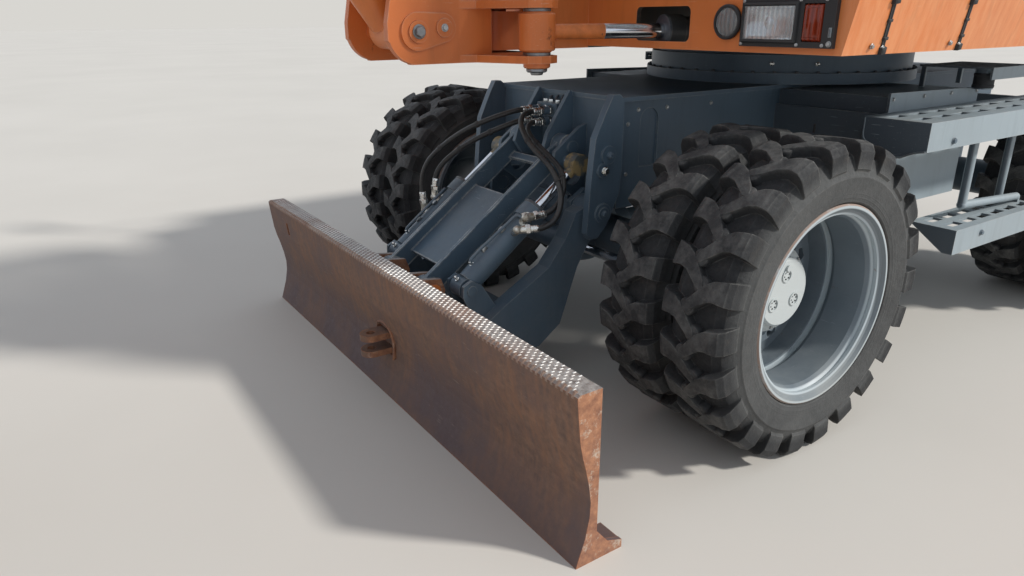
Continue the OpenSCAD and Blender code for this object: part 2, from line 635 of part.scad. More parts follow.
blade_cyl_len = 400;
blade_cyl_r = 44;
module blade_barrels() {
  color(slate) for (i = [0 : 3]) {
    // A port on the side of the barrel, with the elbow that the hose meets.
    end = hose_routes[i][len(hose_routes[i]) - 1];
    near = hose_routes[i][len(hose_routes[i]) - 2];
    dir = (end - near) / norm(end - near);
    s = sign(end[1]);
    difference() {
      union() {
        bar(end + 0.3 * dir, end + 36 * dir, 15);
        translate(end + 36 * dir) sphere(r = 17);
        bar(end + 36 * dir, port_seat(end + 36 * dir, s), 15);
      }
      along(blade_cyl_foot, blade_cyl_eye, s * blade_cyl_y) rotate([0, 90, 0]) cylinder(r = blade_cyl_r - 1, h = 500);
    }
  }
  color(slate) for (s = [-1, 1])
    barrel(blade_cyl_foot, blade_cyl_eye, blade_cyl_len, blade_cyl_r, 22, 40, 70, 20.3, s * blade_cyl_y);
}
// The point on a blade cylinder's axis that is nearest to q, on side s.
function port_seat(q, s) = let (d = (blade_cyl_eye - blade_cyl_foot) / dist(blade_cyl_foot, blade_cyl_eye),
  t = ([q[0], q[2]] - blade_cyl_foot) * d, f = blade_cyl_foot + t * d) [f[0], s * blade_cyl_y, f[1]];
module blade_rods() {
  color(chrome) for (s = [-1, 1])
    rod(blade_cyl_foot, blade_cyl_eye, 480, 44, 22, 42, 56, s * blade_cyl_y);
}

// A hose swept along a list of points, closed at both ends.
module hose(path, r, first, last, sides = 10) {
  n = len(path);
  rings = [for (i = [0 : n - 1])
    let (t = i == 0 ? first : i == n - 1 ? last : path[i + 1] - path[i - 1], d = t / norm(t),
         s = cross(d, [0.3, 0.2, 1]), u = s / norm(s), v = cross(d, u))
    for (k = [0 : sides - 1]) path[i] + r * (cos(k * 360 / sides) * u + sin(k * 360 / sides) * v)];
  faces = concat(
    [[for (k = [0 : sides - 1]) k]],
    [for (i = [0 : n - 2], k = [0 : sides - 1])
      [i * sides + k, (i + 1) * sides + k, (i + 1) * sides + (k + 1) % sides, i * sides + (k + 1) % sides]],
    [[for (k = [0 : sides - 1]) (n - 1) * sides + sides - 1 - k]]);
  polyhedron(points = rings, faces = faces, convexity = 8);
}

// A smooth line through the points of a route, with n steps from each point to the next.
function smooth_route(p, n) = concat([for (i = [0 : len(p) - 2], k = [0 : n - 1])
  let (a = p[max(i - 1, 0)], b = p[i], c = p[i + 1], d = p[min(i + 2, len(p) - 1)], t = k / n)
  0.5 * (2 * b + t * (c - a) + t * t * (2 * a - 5 * b + 4 * c - d) + t * t * t * (3 * b - a - 3 * c + d))],
  [p[len(p) - 1]]);

// Row: one hose from its stub on the valve block to its stub on a cylinder.
module blade_hose(i) {
  p = hose_routes[i];
  n = len(p);
  color(black) hose(smooth_route(p, 3), hose_r, p[1] - p[0], p[n - 1] - p[n - 2], 10);
}

// Upper structure: deck, weights, panels, cab and fittings.
module deck() {
  color(orange) difference() {
    union() {
      // Tray with sides that lean outwards.
      difference() {
        across([[-deck_hw, deck_low], [deck_hw, deck_low], [body_hw, deck_top], [-body_hw, deck_top]], body_back, deck_front);
        across([[-deck_hw + sheet_t, deck_low - 1], [deck_hw - sheet_t, deck_low - 1],
          [body_hw - sheet_t, deck_top - 14], [-body_hw + sheet_t, deck_top - 14]], body_back + 30, deck_front - 20);
      }
      translate([0, 0, deck_low]) cylinder(r = ring_r - 55, h = 80);
      both_sides() {
        box([body_back, 250, deck_low], [deck_front, 275, deck_top]);
        // Nose: two upright plates that carry the lugs of the swing post.
        plate([[600, deck_top - 10], [600, deck_top + 90], [post_x - 280, nose_z[1]],
               [post_x - 60, nose_z[1]], [post_x - 60, nose_z[0]], [post_x - 160, nose_z[0]],
               [post_x - 170, nose_low[1]], [post_x - 60, nose_low[1]], [post_x - 60, nose_low[0]], [700, nose_low[0]]], 70, 100);
      }
      for (z = [nose_low, nose_z]) {
        translate([post_x, 0, z[0]]) cylinder(r = 100, h = z[1] - z[0]);
        box([post_x - 300, -100, z[0]], [post_x, 100, z[1]]);
      }
      box([deck_front - 30, -100, nose_low[0]], [deck_front, 100, nose_z[1] - 40]);
    }
    translate([post_x, 0, 1200]) cylinder(r = post_pin_r + gland_play, h = 600);
    // Window with round corners in the front face, for the swing cylinder.
    box([deck_front - 40, 370, 1328], [deck_front + 1, 630, 1402]);
    box([deck_front - 40, 390, 1308], [deck_front + 1, 610, 1422]);
    for (y = [390, 610], z = [1328, 1402]) translate([deck_front - 40, y, z]) rotate([0, 90, 0]) cylinder(r = 20, h = 41);
  }
  color(orange) {
    translate([swing_foot[0], swing_foot[1], deck_low]) cylinder(r = 20, h = deck_h - 10);
    box([swing_foot[0] - 60, 270, deck_low], [swing_foot[0] + 60, swing_foot[1] + 60, swing_z - 55]);
  }
}

module counterweight() {
  low = deck_low + 40;
  top = hood_top - 97;
  hw = body_hw - 5;
  color(orange) difference() {
    union() {
      intersection() {
        rotate_extrude($fn = 180) polygon([[0, low], [tail_r - 70, low], [tail_r - 8, low + 70], [tail_r, low + 110],
          [tail_r, top - 130], [tail_r - 22, top - 60], [tail_r - 70, top - 14], [tail_r - 120, top], [0, top]]);
        translate([0, 0, low]) linear_extrude(top - low + 1) polygon([[weight_front, -hw], [weight_front, hw],
          [-tail_r + 420, hw], [-tail_r - 10, hw - 330], [-tail_r - 10, -hw + 330], [-tail_r + 420, -hw]]);
      }
      // Two lifting eyes on top.
      both_sides() translate([-tail_r + 330, 520, top - 2]) rotate([90, 0, 0]) cylinder(r = 55, h = 30);
    }
    both_sides() translate([-tail_r + 330, 530, top + 22]) rotate([90, 0, 0]) cylinder(r = 16, h = 60);
    box([body_back - 0.3, -body_hw - 1, low - 10], [weight_front + 1, body_hw + 1, deck_top + 0.3]);
    // Recess and seams in the back.
    box([-tail_r - 20, -260, low + 180], [-tail_r + 40, 260, low + 420]);
    for (y = [-560, 560]) box([-tail_r - 20, y - 4, low], [-tail_r + 130, y + 4, top - 40]);
  }
}

// A row of air slots in an upright side wall, from y0 to y1.
module slots(x0, x1, z0, pitch, count, y0, y1) {
  for (k = [0 : count - 1]) box([x0, y0, z0 + k * pitch], [x1, y1, z0 + k * pitch + pitch * 0.45]);
}

right_inner = -330;
right_profile = [[weight_front, deck_top], [1150, deck_top], [1150, 1700], [1110, 1740], [640, 1790], [600, 1830],
  [520, side_top - 30], [480, side_top], [weight_front, side_top]];
module panels() {
  color(orange) difference() {
    union() {
      plate(right_profile, -body_hw, right_inner);
      box([weight_front, right_inner, deck_top], [235, body_hw, hood_top - 60]);
    }
    intersection() {
      box([weight_front + sheet_t, -body_hw + sheet_t, deck_top - 1], [1150 - sheet_t, right_inner - sheet_t, side_top - sheet_t]);
      translate([0, 0, -sheet_t]) plate(right_profile, -body_hw, right_inner);
    }
    box([weight_front + sheet_t, right_inner - 30, deck_top - 1], [235 - sheet_t, body_hw - sheet_t, hood_top - 80]);
    box([-1000, -700, 1900], [100, 1000, hood_top + 10]);
    // Air slots of the radiator and engine doors.
    slots(-1080, -640, 1560, 34, 12, body_hw - 40, body_hw + 1);
    slots(-1080, -640, 1560, 34, 12, -body_hw - 1, -body_hw + 40);
    slots(-420, 120, 1800, 34, 5, body_hw - 40, body_hw + 1);
    // Seams between the doors.
    for (x = [-560, 20]) both_sides() box([x - 3, body_hw - 6, deck_top + 30], [x + 3, body_hw + 1, side_top - 20]);
    box([600, -body_hw - 1, deck_top + 30], [606, -body_hw + 6, 1780]);
    for (z = [deck_top + 30]) both_sides() box([weight_front + 20, body_hw - 6, z - 3], [215, body_hw + 1, z + 3]);
  }
  color(orange) for (y = hood_hinge_y) {
    box([hood_hinge_x - 14, y - 30, hood_top - 62], [hood_hinge_x + 14, y - 5, hood_hinge_z]);
    boss([hood_hinge_x, hood_hinge_z], 14, y - 30, y - 5);
    boss([hood_hinge_x, hood_hinge_z], 8, y - 6, y + 40);
  }
}

module hood() {
  color(orange) difference() {
    union() {
      plate([[-1020, hood_top - 54], [-1020, hood_top - 14], [-1006, hood_top], [106, hood_top], [120, hood_top - 14],
        [120, hood_top - 54]], -720, 1020);
      for (y = hood_hinge_y) {
        boss([hood_hinge_x, hood_hinge_z], 14, y, y + 36);
        box([hood_hinge_x, y, hood_hinge_z - 10], [-1015, y + 36, hood_hinge_z + 12]);
      }
      // Exhaust pipe with its collar.
      translate([-250, -420, hood_top - 2]) cylinder(r = 62, h = 22);
      translate([-250, -420, hood_top - 2]) cylinder(r = 45, h = 300);
    }
    box([-1004, -704, hood_top - 55], [104, 1004, hood_top - 16]);
    for (y = hood_hinge_y) boss([hood_hinge_x, hood_hinge_z], 8.3, y - 1, y + 45);
    for (k = [0 : 9]) box([-900 + k * 46, -100, hood_top - 20], [-878 + k * 46, 560, hood_top + 1]);
    translate([-250, -420, hood_top + 30]) cylinder(r = 40, h = 300);
    translate([-250, -420, hood_top + 300]) rotate([0, 35, 0]) cylinder(r = 120, h = 120);
  }
}

// Handrails on the cab and on the right side, and the two mirrors on their arms.
module rails_and_mirrors() {
  r = 14;
  left_y = cab_y1 - 30;
  right_y = -body_hw + 60;
  color(black) difference() {
    union() {
      for (z = [1800, 2700]) bar([1150, left_y, z], [1310, left_y, z], r);
      bar([1310, left_y, 1786], [1310, left_y, 2714], r);
      bar([1310, left_y, 2600], [1400, left_y, 2600], r);
      box([1390, cab_y1 - 110, 2440], [1420, cab_y1 + 35, 2740]);
      // Right side: a rail on the tool box, with a post for the mirror.
      for (x = [660, 1100]) bar([x, right_y, 1700], [x, right_y, 2060], r);
      bar([646, right_y, 2060], [1114, right_y, 2060], r);
      bar([1100, right_y, 2050], [1100, right_y, 2240], r);
      box([1090, right_y - 55, 2230], [1120, right_y + 105, 2500]);
    }
    plate(right_profile, -body_hw, right_inner);
    plate(cab_outer, cab_y0, cab_y1);
  }
}

module engine() { color([0.3, 0.3, 0.3]) box([-950, -450, deck_top], [-150, 750, 1880]); }

cab_outer = [[250, deck_top], [1240, deck_top], [1262, 2050], [1150, 2960], [1070, cab_top], [310, cab_top], [250, 2980]];
cab_inner = [[250 + cab_t, floor_z], [1240 - cab_t, floor_z], [1262 - cab_t, 2050], [1150 - cab_t, 2930], [1060, cab_top - cab_t],
  [320, cab_top - cab_t], [250 + cab_t, 2960]];
door_open = [[560, 1520], [1190, 1520], [1212, 2050], [1115, 2880], [560, 2880]];
door_leaf = [[566, 1526], [1182, 1526], [1203, 2050], [1107, 2874], [566, 2874]];

side_window = [[330, 1950], [1190, 1950], [1195, 2050], [1100, 2880], [330, 2880]];
rear_side_window = [[330, 2050], [510, 2050], [510, 2880], [330, 2880]];
front_window = [[1000, cab_y0 + 60, 1560], [1400, cab_y1 - 60, 2890]];
rear_window = [[200, cab_y0 + 70, 2150], [310, cab_y1 - 70, 2880]];
roof_window = [[450, cab_y0 + 120, 2900], [950, cab_y1 - 120, 3200]];
// The cab's outline k of the way from its outer face to its inner one.
function cab_skin(k) = [for (i = [0 : len(cab_outer) - 1]) cab_outer[i] + k * (cab_inner[i] - cab_outer[i])];

module cab() {
  color(orange) difference() {
    union() {
      plate(cab_outer, cab_y0, cab_y1);
      // Roof with an overhang all round, and a visor over the windscreen.
      plate([[235, 3000], [235, cab_top - 10], [250, cab_top], [1100, cab_top], [1210, cab_top - 40], [1225, cab_top - 60],
        [1120, cab_top - 50]], cab_y0 - 12, cab_y1 + 12);
      for (z = hinge_z) {
        translate([door_hinge_x, door_hinge_y, z - 25]) cylinder(r = 12, h = 20);
        box([door_hinge_x - 40, cab_y1 - 5, z - 25], [door_hinge_x, door_hinge_y + 10, z - 5]);
      }
    }
    plate(cab_inner, cab_y0 + cab_t, cab_y1 - cab_t);
    plate(door_open, cab_y1 - cab_t - 5, cab_y1 + 5);
    plate(rear_side_window, cab_y1 - cab_t - 5, cab_y1 + 5);
    plate(side_window, cab_y0 - 5, cab_y0 + cab_t + 5);
    for (w = [front_window, rear_window, roof_window]) box(w[0], w[1]);
  }
  color(orange) for (z = hinge_z) translate([door_hinge_x, door_hinge_y, z - 20]) cylinder(r = 7, h = 44);
}

module cab_glass() {
  color(glass) {
    intersection() {
      plate(side_window, cab_y0 + 15, cab_y0 + 21);
      plate(cab_skin(0.9), 0, 2000);
    }
    plate(rear_side_window, cab_y1 - 21, cab_y1 - 15);
    for (w = [front_window, rear_window, roof_window]) intersection() {
      box(w[0], w[1]);
      difference() {
        plate(cab_skin(0.4), 0, 2000);
        plate(cab_skin(0.55), -1, 2001);
      }
    }
  }
}

module door() {
  color(orange) difference() {
    union() {
      plate(door_leaf, cab_y1 - 35, cab_y1);
      for (z = hinge_z) {
        translate([door_hinge_x, door_hinge_y, z]) cylinder(r = 12, h = 22);
        box([door_hinge_x, cab_y1 + 0.5, z], [door_leaf[0][0] + 40, door_hinge_y + 8, z + 22]);
        box([door_leaf[0][0], cab_y1 - 3, z], [door_leaf[0][0] + 40, cab_y1 + 1, z + 22]);
      }
    }
    for (z = hinge_z) translate([door_hinge_x, door_hinge_y, z - 1]) cylinder(r = 7.3, h = 30);
    plate([[630, 2100], [1140, 2100], [1060, 2810], [630, 2810]], cab_y1 - 40, cab_y1 + 5);
  }
}
module door_glass() {
  color(glass) plate([[630, 2100], [1140, 2100], [1060, 2810], [630, 2810]], cab_y1 - 20, cab_y1 - 14);
}

module seat() {
  color(black) translate([0, seat_y, 0]) {
    // Pedestal, cushion, backrest with its headrest, and two armrests.
    box([480, -180, floor_z + 0.3], [820, 180, 1760]);
    plate([[430, 1759], [900, 1759], [930, 1790], [935, 1850], [900, 1890], [700, 1880], [520, 1890], [430, 1920]], -230, 230);
    plate([[430, 1900], [530, 1880], [515, 2050], [470, 2400], [440, 2500], [380, 2520], [350, 2470], [390, 2100], [400, 1930]],
      -210, 210);
    plate([[400, 2508], [445, 2494], [470, 2560], [455, 2680], [400, 2710], [360, 2690], [365, 2560]], -120, 120);
    for (y = [-280, 230]) box([470, y, 2040], [800, y + 50, 2080]);
    for (y = [-275, 235]) bar([480, y + 20, 2050], [480, y + (y < 0 ? 80 : -40), 2050], 14);
  }
}

module controls() {
  color(black) {
    for (y = [cab_y0 + 60, cab_y1 - 205]) {
      plate([[430, floor_z + 0.3], [800, floor_z + 0.3], [880, 1900], [890, 2010], [840, 2030], [450, 2000]], y, y + 90);
      translate([830, y + 45, 2010]) cylinder(r = 14, h = 120);
      translate([830, y + 45, 2125]) scale([1, 1, 1.7]) sphere(r = 30);
    }
    // Steering column with its wheel, pedals and the display.
    difference() {
      bar([1090, seat_y, floor_z - 20], [984, seat_y, 2092], 32);
      box([1000, seat_y - 100, floor_z - 60], [1180, seat_y + 100, floor_z + 0.3]);
    }
    translate([985, seat_y, 2085]) rotate([0, -12, 0]) difference() {
      cylinder(r = 195, h = 26);
      translate([0, 0, -1]) difference() {
        cylinder(r = 168, h = 28);
        cylinder(r = 50, h = 28);
        box([-175, -14, 0], [175, 14, 30]);
        box([-14, -175, 0], [14, 175, 30]);
      }
    }
    for (y = [seat_y - 140, seat_y + 80]) plate([[1010, floor_z + 0.3], [1090, floor_z + 0.3], [1130, 1600], [1110, 1612]], y, y + 70);
  }
}

// Headlamps in their dark housings, the round lamp beside the swing cylinder, and two lamps on the roof.
module lamps() {
  y1 = deck_hw - 23;
  color([0.9, 0.9, 0.85]) {
    both_sides() {
      difference() {
        box([deck_front, y1 - 322, 1302], [deck_front + 16, y1, deck_top]);
        box([deck_front + 4, y1 - 311, 1318], [deck_front + 20, y1 - 122, 1423]);
        box([deck_front + 4, y1 - 102, 1318], [deck_front + 20, y1 - 37, 1423]);
      }
      box([deck_front + 3.5, y1 - 303, 1326], [deck_front + 11, y1 - 130, 1415]);
      box([deck_front + 3.5, y1 - 96, 1324], [deck_front + 11, y1 - 43, 1417]);
    }
    for (y = [cab_y0 + 110, cab_y1 - 230]) box([1000, y, cab_top + 0.3], [1060, y + 120, cab_top + 80]);
    translate([deck_front, deck_hw - 405, 1372]) rotate([0, 90, 0]) difference() {
      cylinder(r = 50, h = 14);
      translate([0, 0, 8]) cylinder(r = 43, h = 10);
    }
  }
}

// Swing post and its cylinder.
module post() {
  color(orange) difference() {
    union() {
      // The two plates that take the swing cylinder's eye on the left.
      for (z = [post_low, nose_low[1] + 8]) translate([0, 0, z]) linear_extrude(25) difference() {
        polygon([[post_x - 90, -105], [post_x - 105, 0], [post_x - 90, 105], [post_x - 10, 385], [post_x + 30, 405],
                 [post_x + 70, 405], [post_x + 110, 385], [post_x + 190, 190], [post_x + 250, 178],
                 [post_x + 250, -178], [post_x + 60, -178]]);
        translate([swing_eye[0], swing_eye[1]]) circle(r = 22);
      }
      // Plates above and below the upper lug of the nose.
      for (z = [nose_z[0] - 30, nose_z[1] + 8]) translate([0, 0, z]) linear_extrude(22)
        polygon([[post_x - 70, -90], [post_x - 100, 0], [post_x - 70, 90], [post_x + 90, 150], [post_x + 90, -150]]);
      // Ears of the boom and of the lift cylinder.
      both_sides() plate([[post_x + 120, post_low], [post_x + 120, 1480], [post_x + 40, 1530], [post_x + 40, 1700],
        [foot_x - 90, foot_z + 40], [foot_x - 50, foot_z + 90], [foot_x + 30, foot_z + 98], [foot_x + 95, foot_z + 30],
        [foot_x + 130, foot_z - 150], [2190, 1500], [lift_foot[0] + 105, 1375], [lift_foot[0] + 105, 1320],
        [lift_foot[0] + 25, post_low], [2000, post_low]], 150, 178);
      // Rounded nose, and the cover plate over the lift cylinder's pin with its lock beside it.
      both_sides() {
        boss(lift_foot, lift_foot[1] - post_low, 150, 178);
        plate([lift_foot + [-2, 60], lift_foot + [-97, 57], lift_foot + [-108, -33], lift_foot + [-15, -58]], 176, 186);
        boss(lift_foot, 60, 176, 186);
        boss(lift_foot + [-96, 11], 46, 176, 186);
        boss(lift_foot + [-96, 11], 30, 185, 193);
      }
      box([post_x + 120, -160, post_low], [post_x + 150, 160, 1682]);
      both_sides() boss(foot, 75, 170, 196);
    }
    boss(foot, 40.3, -200, 200);
    boss(lift_foot, 35.3, -200, 200);
  }
  color(orange) {
    boss(foot, 40, -192, 192);
    boss(lift_foot, 35, -192, 192);
    translate([post_x, 0, post_low - 12]) cylinder(r = post_pin_r, h = nose_z[1] + 40 - post_low);
    for (z = [post_low - 14, nose_low[1] + 30]) translate([swing_eye[0], swing_eye[1], z]) cylinder(r = 40, h = 18);
  }
}

// The swing cylinder lies level in the upper frame.
module swing_place() {
  translate([swing_foot[0], swing_foot[1], swing_z])
    rotate([0, 0, atan2(swing_eye[1] - swing_foot[1], swing_eye[0] - swing_foot[0])]) children();
}
module swing_barrel() {
  color(slate) swing_place() rotate([90, 0, 0])
    barrel([0, 0], [1, 0], 615, 46, 25, 50, 104, 20.3);
}
module swing_rod() {
  color(chrome) swing_place() rotate([90, 0, 0])
    rod([0, 0], [dist(swing_foot, swing_eye), 0], 838, 46, 25, 50, 128);
}

// Boom, arm and bucket.
knee = [2900, 3030];
module boom() {
  color(orange) difference() {
    union() {
      plate([foot + [-70, -60], foot + [-85, 30], foot + [-30, 85], [2330, 2680], [2620, 3110], [2820, 3300],
        [3100, 3390], [3500, 3430], [4500, 3445], [5000, 3455], tip + [-120, 90], tip + [-250, -110], [4500, 3190],
        [3500, 2960], [3250, 2880], [3000, 2790], [2870, 2680], [2300, 1990], foot + [60, -80]],
        -boom_w / 2, boom_w / 2);
      boss(foot, 85, -147, 147);
      both_sides() {
        plate([tip + [-300, 60], tip + [-60, 95], tip + [60, 75], tip + [95, 0], tip + [60, -75], tip + [-300, -110]],
          boom_w / 2 - 30, boom_w / 2);
        plate([[2860, 2710], [2960, 2610], [3000, 2575], [3080, 2575], [3115, 2650], [3150, 2880], [2990, 2880]], 61, 90);
        plate([arm_cyl_foot + [-220, -130], arm_cyl_foot + [-60, 50], arm_cyl_foot + [0, 70], arm_cyl_foot + [60, 50],
          arm_cyl_foot + [220, -120]], 72, 96);
      }
    }
    box([tip[0] - 340, -105, 3100], [tip[0] + 100, 105, 3700]);
    boss(foot, 40.3, -200, 200);
    boss(lift_eye, 30.3, -100, 100);
    boss(tip, 40.3, -200, 200);
    boss(arm_cyl_foot, 30.3, -200, 200);
  }
  color(orange) {
    boss(tip, 40, -boom_w / 2 - 12, boom_w / 2 + 12);
    boss(arm_cyl_foot, 30, -104, 104);
    both_sides() boss(lift_eye, 45, 88, 104);
  }
}

module lift_barrel() {
  color(orange) barrel(lift_foot, lift_eye, 1130, 62, 36, 62, 130, 35.3);
}
module lift_rod() {
  color(chrome) rod(lift_foot, lift_eye, 1150, 62, 36, 58, 110);
}

module arm() {
  color(orange) difference() {
    union() {
      plate([on_arm(-arm_back - 80, -40), on_arm(-arm_back - 90, 20), on_arm(-arm_back - 50, 80), on_arm(-60, 235),
        on_arm(200, 290), on_arm(420, 240), on_arm(1200, 150), on_arm(arm_len - 300, 75), on_arm(arm_len + 50, 60),
        on_arm(arm_len + 72, 0), on_arm(arm_len + 50, -60), on_arm(arm_len - 300, -75), on_arm(1200, -105),
        on_arm(300, -150), on_arm(-60, -110)], -85, 85);
      boss(tip, 80, -102, 102);
      boss(bucket_pin, 62, -110, 110);
      both_sides() {
        plate([on_arm(120, 250), on_arm(200, 380), on_arm(260, 400), on_arm(320, 380), on_arm(420, 220)], 66, 86);
      }
    }
    box([arm_cyl_pin[0] - 300, -58, arm_cyl_pin[1] - 140], [arm_cyl_pin[0] + 200, 58, arm_cyl_pin[1] + 200]);
    boss(tip, 40.3, -200, 200);
    boss(bucket_pin, 30.3, -200, 200);
    boss(bucket_cyl_pin, 25.3, -200, 200);
    boss(rocker_pin, 28.3, -200, 200);
  }
  color(orange) {
    boss(bucket_cyl_pin, 25, -94, 94);
    boss(rocker_pin, 28, -150, 150);
    both_sides() boss(arm_cyl_pin, 48, 85, 98);
  }
}

module arm_barrel() {
  color(orange) barrel(arm_cyl_foot, arm_cyl_pin, 1180, 60, 34, 60, 130, 30.3);
}
module arm_rod() {
  color(chrome) rod(arm_cyl_foot, arm_cyl_pin, 900, 60, 34, 56, 100);
}
module bucket_barrel() {
  color(orange) barrel(bucket_cyl_pin, rocker_end, dist(bucket_cyl_pin, rocker_end) - 656, 50, 30, 50, 116, 25.3);
}
module bucket_rod() {
  color(chrome) rod(bucket_cyl_pin, rocker_end, 800, 50, 30, 46, 90);
}

module rocker() {
  color(orange) both_sides() difference() {
    union() {
      boss(rocker_pin, 55, 92, 118);
      boss(rocker_end, 50, 92, 118);
      along(rocker_pin, rocker_end) translate([0, 93, -40]) cube([rocker_r, 24, 80]);
    }
    boss(rocker_pin, 28.3, 80, 130);
  }
}

module bucket_link() {
  color(orange) difference() {
    union() {
      boss(ear_pin, 48, -82, 82);
      along(ear_pin, rocker_end) translate([0, -80, -36]) cube([dist(ear_pin, rocker_end), 160, 72]);
      boss(rocker_end, 48, -82, 82);
    }
    boss(ear_pin, 28.3, -100, 100);
    boss(rocker_end, 60, -50, 50);
    along(ear_pin, rocker_end) translate([dist(ear_pin, rocker_end) - 130, -50, -60]) cube([300, 100, 120]);
  }
}

// The bucket's own directions: a runs from its pin to the link's pin, b into the bucket.
bucket_a = (ear_pin - bucket_pin) / ear_r;
bucket_b = [bucket_a[1], -bucket_a[0]];
function in_bucket(a, b) = bucket_pin + a * bucket_a + b * bucket_b;
bucket_mid = [330, 540];
bucket_plate = 18;
function bucket_curve(r) = [for (t = [-75 : 10 : 75]) in_bucket(bucket_mid[0] + r * cos(t), bucket_mid[1] + r * sin(t))];
function reversed(v) = [for (i = [len(v) - 1 : -1 : 0]) v[i]];

module bucket() {
  color(rust) {
    plate(concat([in_bucket(-20, 120)], bucket_curve(420), [in_bucket(0, bucket_edge), in_bucket(0, bucket_edge - bucket_plate)],
      reversed(bucket_curve(420 - bucket_plate)), [in_bucket(-20, 120 + bucket_plate)]), -bucket_w / 2, bucket_w / 2);
    both_sides() plate(concat([in_bucket(-20, 120)], bucket_curve(420), [in_bucket(0, bucket_edge)]),
      bucket_w / 2 - 16, bucket_w / 2);
    both_sides() difference() {
      union() {
        plate([in_bucket(-110, 126), in_bucket(-62, 0), in_bucket(-30, -54), in_bucket(30, -62), in_bucket(340, -58),
          in_bucket(385, -30), in_bucket(400, 60), in_bucket(430, 134)], 124, 148);
        boss(bucket_pin, 62, 118, 152);
        boss(ear_pin, 56, 118, 152);
      }
      boss(bucket_pin, 30.3, 100, 160);
      boss(ear_pin, 28.3, 100, 160);
    }
    boss(bucket_pin, 30, -160, 160);
    boss(ear_pin, 28, -160, 160);
    for (y = [-2 : 2]) translate([0, y * (bucket_w - 120) / 4, 0])
      plate([in_bucket(80, bucket_edge - 62), in_bucket(0, bucket_edge - 30), in_bucket(-bucket_tooth, bucket_edge + 8),
        in_bucket(-bucket_tooth, bucket_edge + 14), in_bucket(0, bucket_edge + 20), in_bucket(80, bucket_edge - 2)], -32, 32);
  }
}

translate([-x_mid, 0, 0]) {
  frame();
  slew_ring();
  front_axle();
  rear_axle();
  steps();
  steer_rod();
  blade_hose(0);  // blade_hose_left_top
  blade_hose(1);  // blade_hose_left_low
  blade_hose(2);  // blade_hose_right_top
  blade_hose(3);  // blade_hose_right_low
  knuckle(1);  // knuckle_left
  knuckle(-1);  // knuckle_right
  tyres(axle_fwd, 1);  // tyres_front_left
  tyres(axle_fwd, -1);  // tyres_front_right
  tyres(rear_x, 1);  // tyres_rear_left
  tyres(rear_x, -1);  // tyres_rear_right
  rim(axle_fwd, 1);  // rim_front_left
  rim(axle_fwd, -1);  // rim_front_right
  rim(rear_x, 1);  // rim_rear_left
  rim(rear_x, -1);  // rim_rear_right
  blade_arms();
  blade_links();
  blade();
  blade_barrels();
  blade_rods();
  deck();
  counterweight();
  panels();
  engine();
  hood();
  rails_and_mirrors();
  cab();
  cab_glass();
  door();
  door_glass();
  seat();
  controls();
  lamps();
  swing_barrel();
  swing_rod();
  post();
  boom();
  lift_barrel();
  lift_rod();
  arm_barrel();
  arm_rod();
  arm();
  bucket_barrel();
  bucket_rod();
  rocker();
  bucket_link();
  bucket();
}
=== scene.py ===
"""Looks of a wheeled excavator with twin tyres and a dozer blade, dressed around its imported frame.

Lengths in the calls are millimetres from the slewing centre at ground level, +X ahead, +Y left, +Z up,
and spot() turns them into the frame's metres.
"""
import math

import bmesh
import bpy
from mathutils import Matrix, Vector


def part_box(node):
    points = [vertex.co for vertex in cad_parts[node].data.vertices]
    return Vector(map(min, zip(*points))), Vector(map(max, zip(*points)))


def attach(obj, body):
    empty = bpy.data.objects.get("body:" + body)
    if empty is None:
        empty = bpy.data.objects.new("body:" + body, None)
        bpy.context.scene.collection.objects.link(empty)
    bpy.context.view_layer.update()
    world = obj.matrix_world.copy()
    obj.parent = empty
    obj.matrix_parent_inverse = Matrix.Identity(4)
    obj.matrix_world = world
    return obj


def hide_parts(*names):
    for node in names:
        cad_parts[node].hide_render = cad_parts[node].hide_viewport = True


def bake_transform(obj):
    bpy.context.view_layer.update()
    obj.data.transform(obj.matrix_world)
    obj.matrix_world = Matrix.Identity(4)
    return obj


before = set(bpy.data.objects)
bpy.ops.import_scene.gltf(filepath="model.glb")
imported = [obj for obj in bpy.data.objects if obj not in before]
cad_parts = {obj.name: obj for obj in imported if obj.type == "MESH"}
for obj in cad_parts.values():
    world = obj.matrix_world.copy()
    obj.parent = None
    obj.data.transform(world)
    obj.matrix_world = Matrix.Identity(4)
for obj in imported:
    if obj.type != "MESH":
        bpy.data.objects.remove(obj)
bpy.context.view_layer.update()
bpy.ops.object.select_all(action="DESELECT")
ring_low, ring_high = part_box("slew_ring")
slew_x = (ring_low.x + ring_high.x) / 2

AHEAD, BACK, LEFT, RIGHT, UP, DOWN = (1, 0, 0), (-1, 0, 0), (0, 1, 0), (0, -1, 0), (0, 0, 1), (0, 0, -1)
SIDES = ((1, "left"), (-1, "right"))
CORNERS = ("front_left", "front_right", "rear_left", "rear_right")


def spot(x, y, z):
    """A place in millimetres from the slewing centre, in the frame's metres."""
    return Vector((x / 1000 + slew_x, y / 1000, z / 1000))


# Camera and light

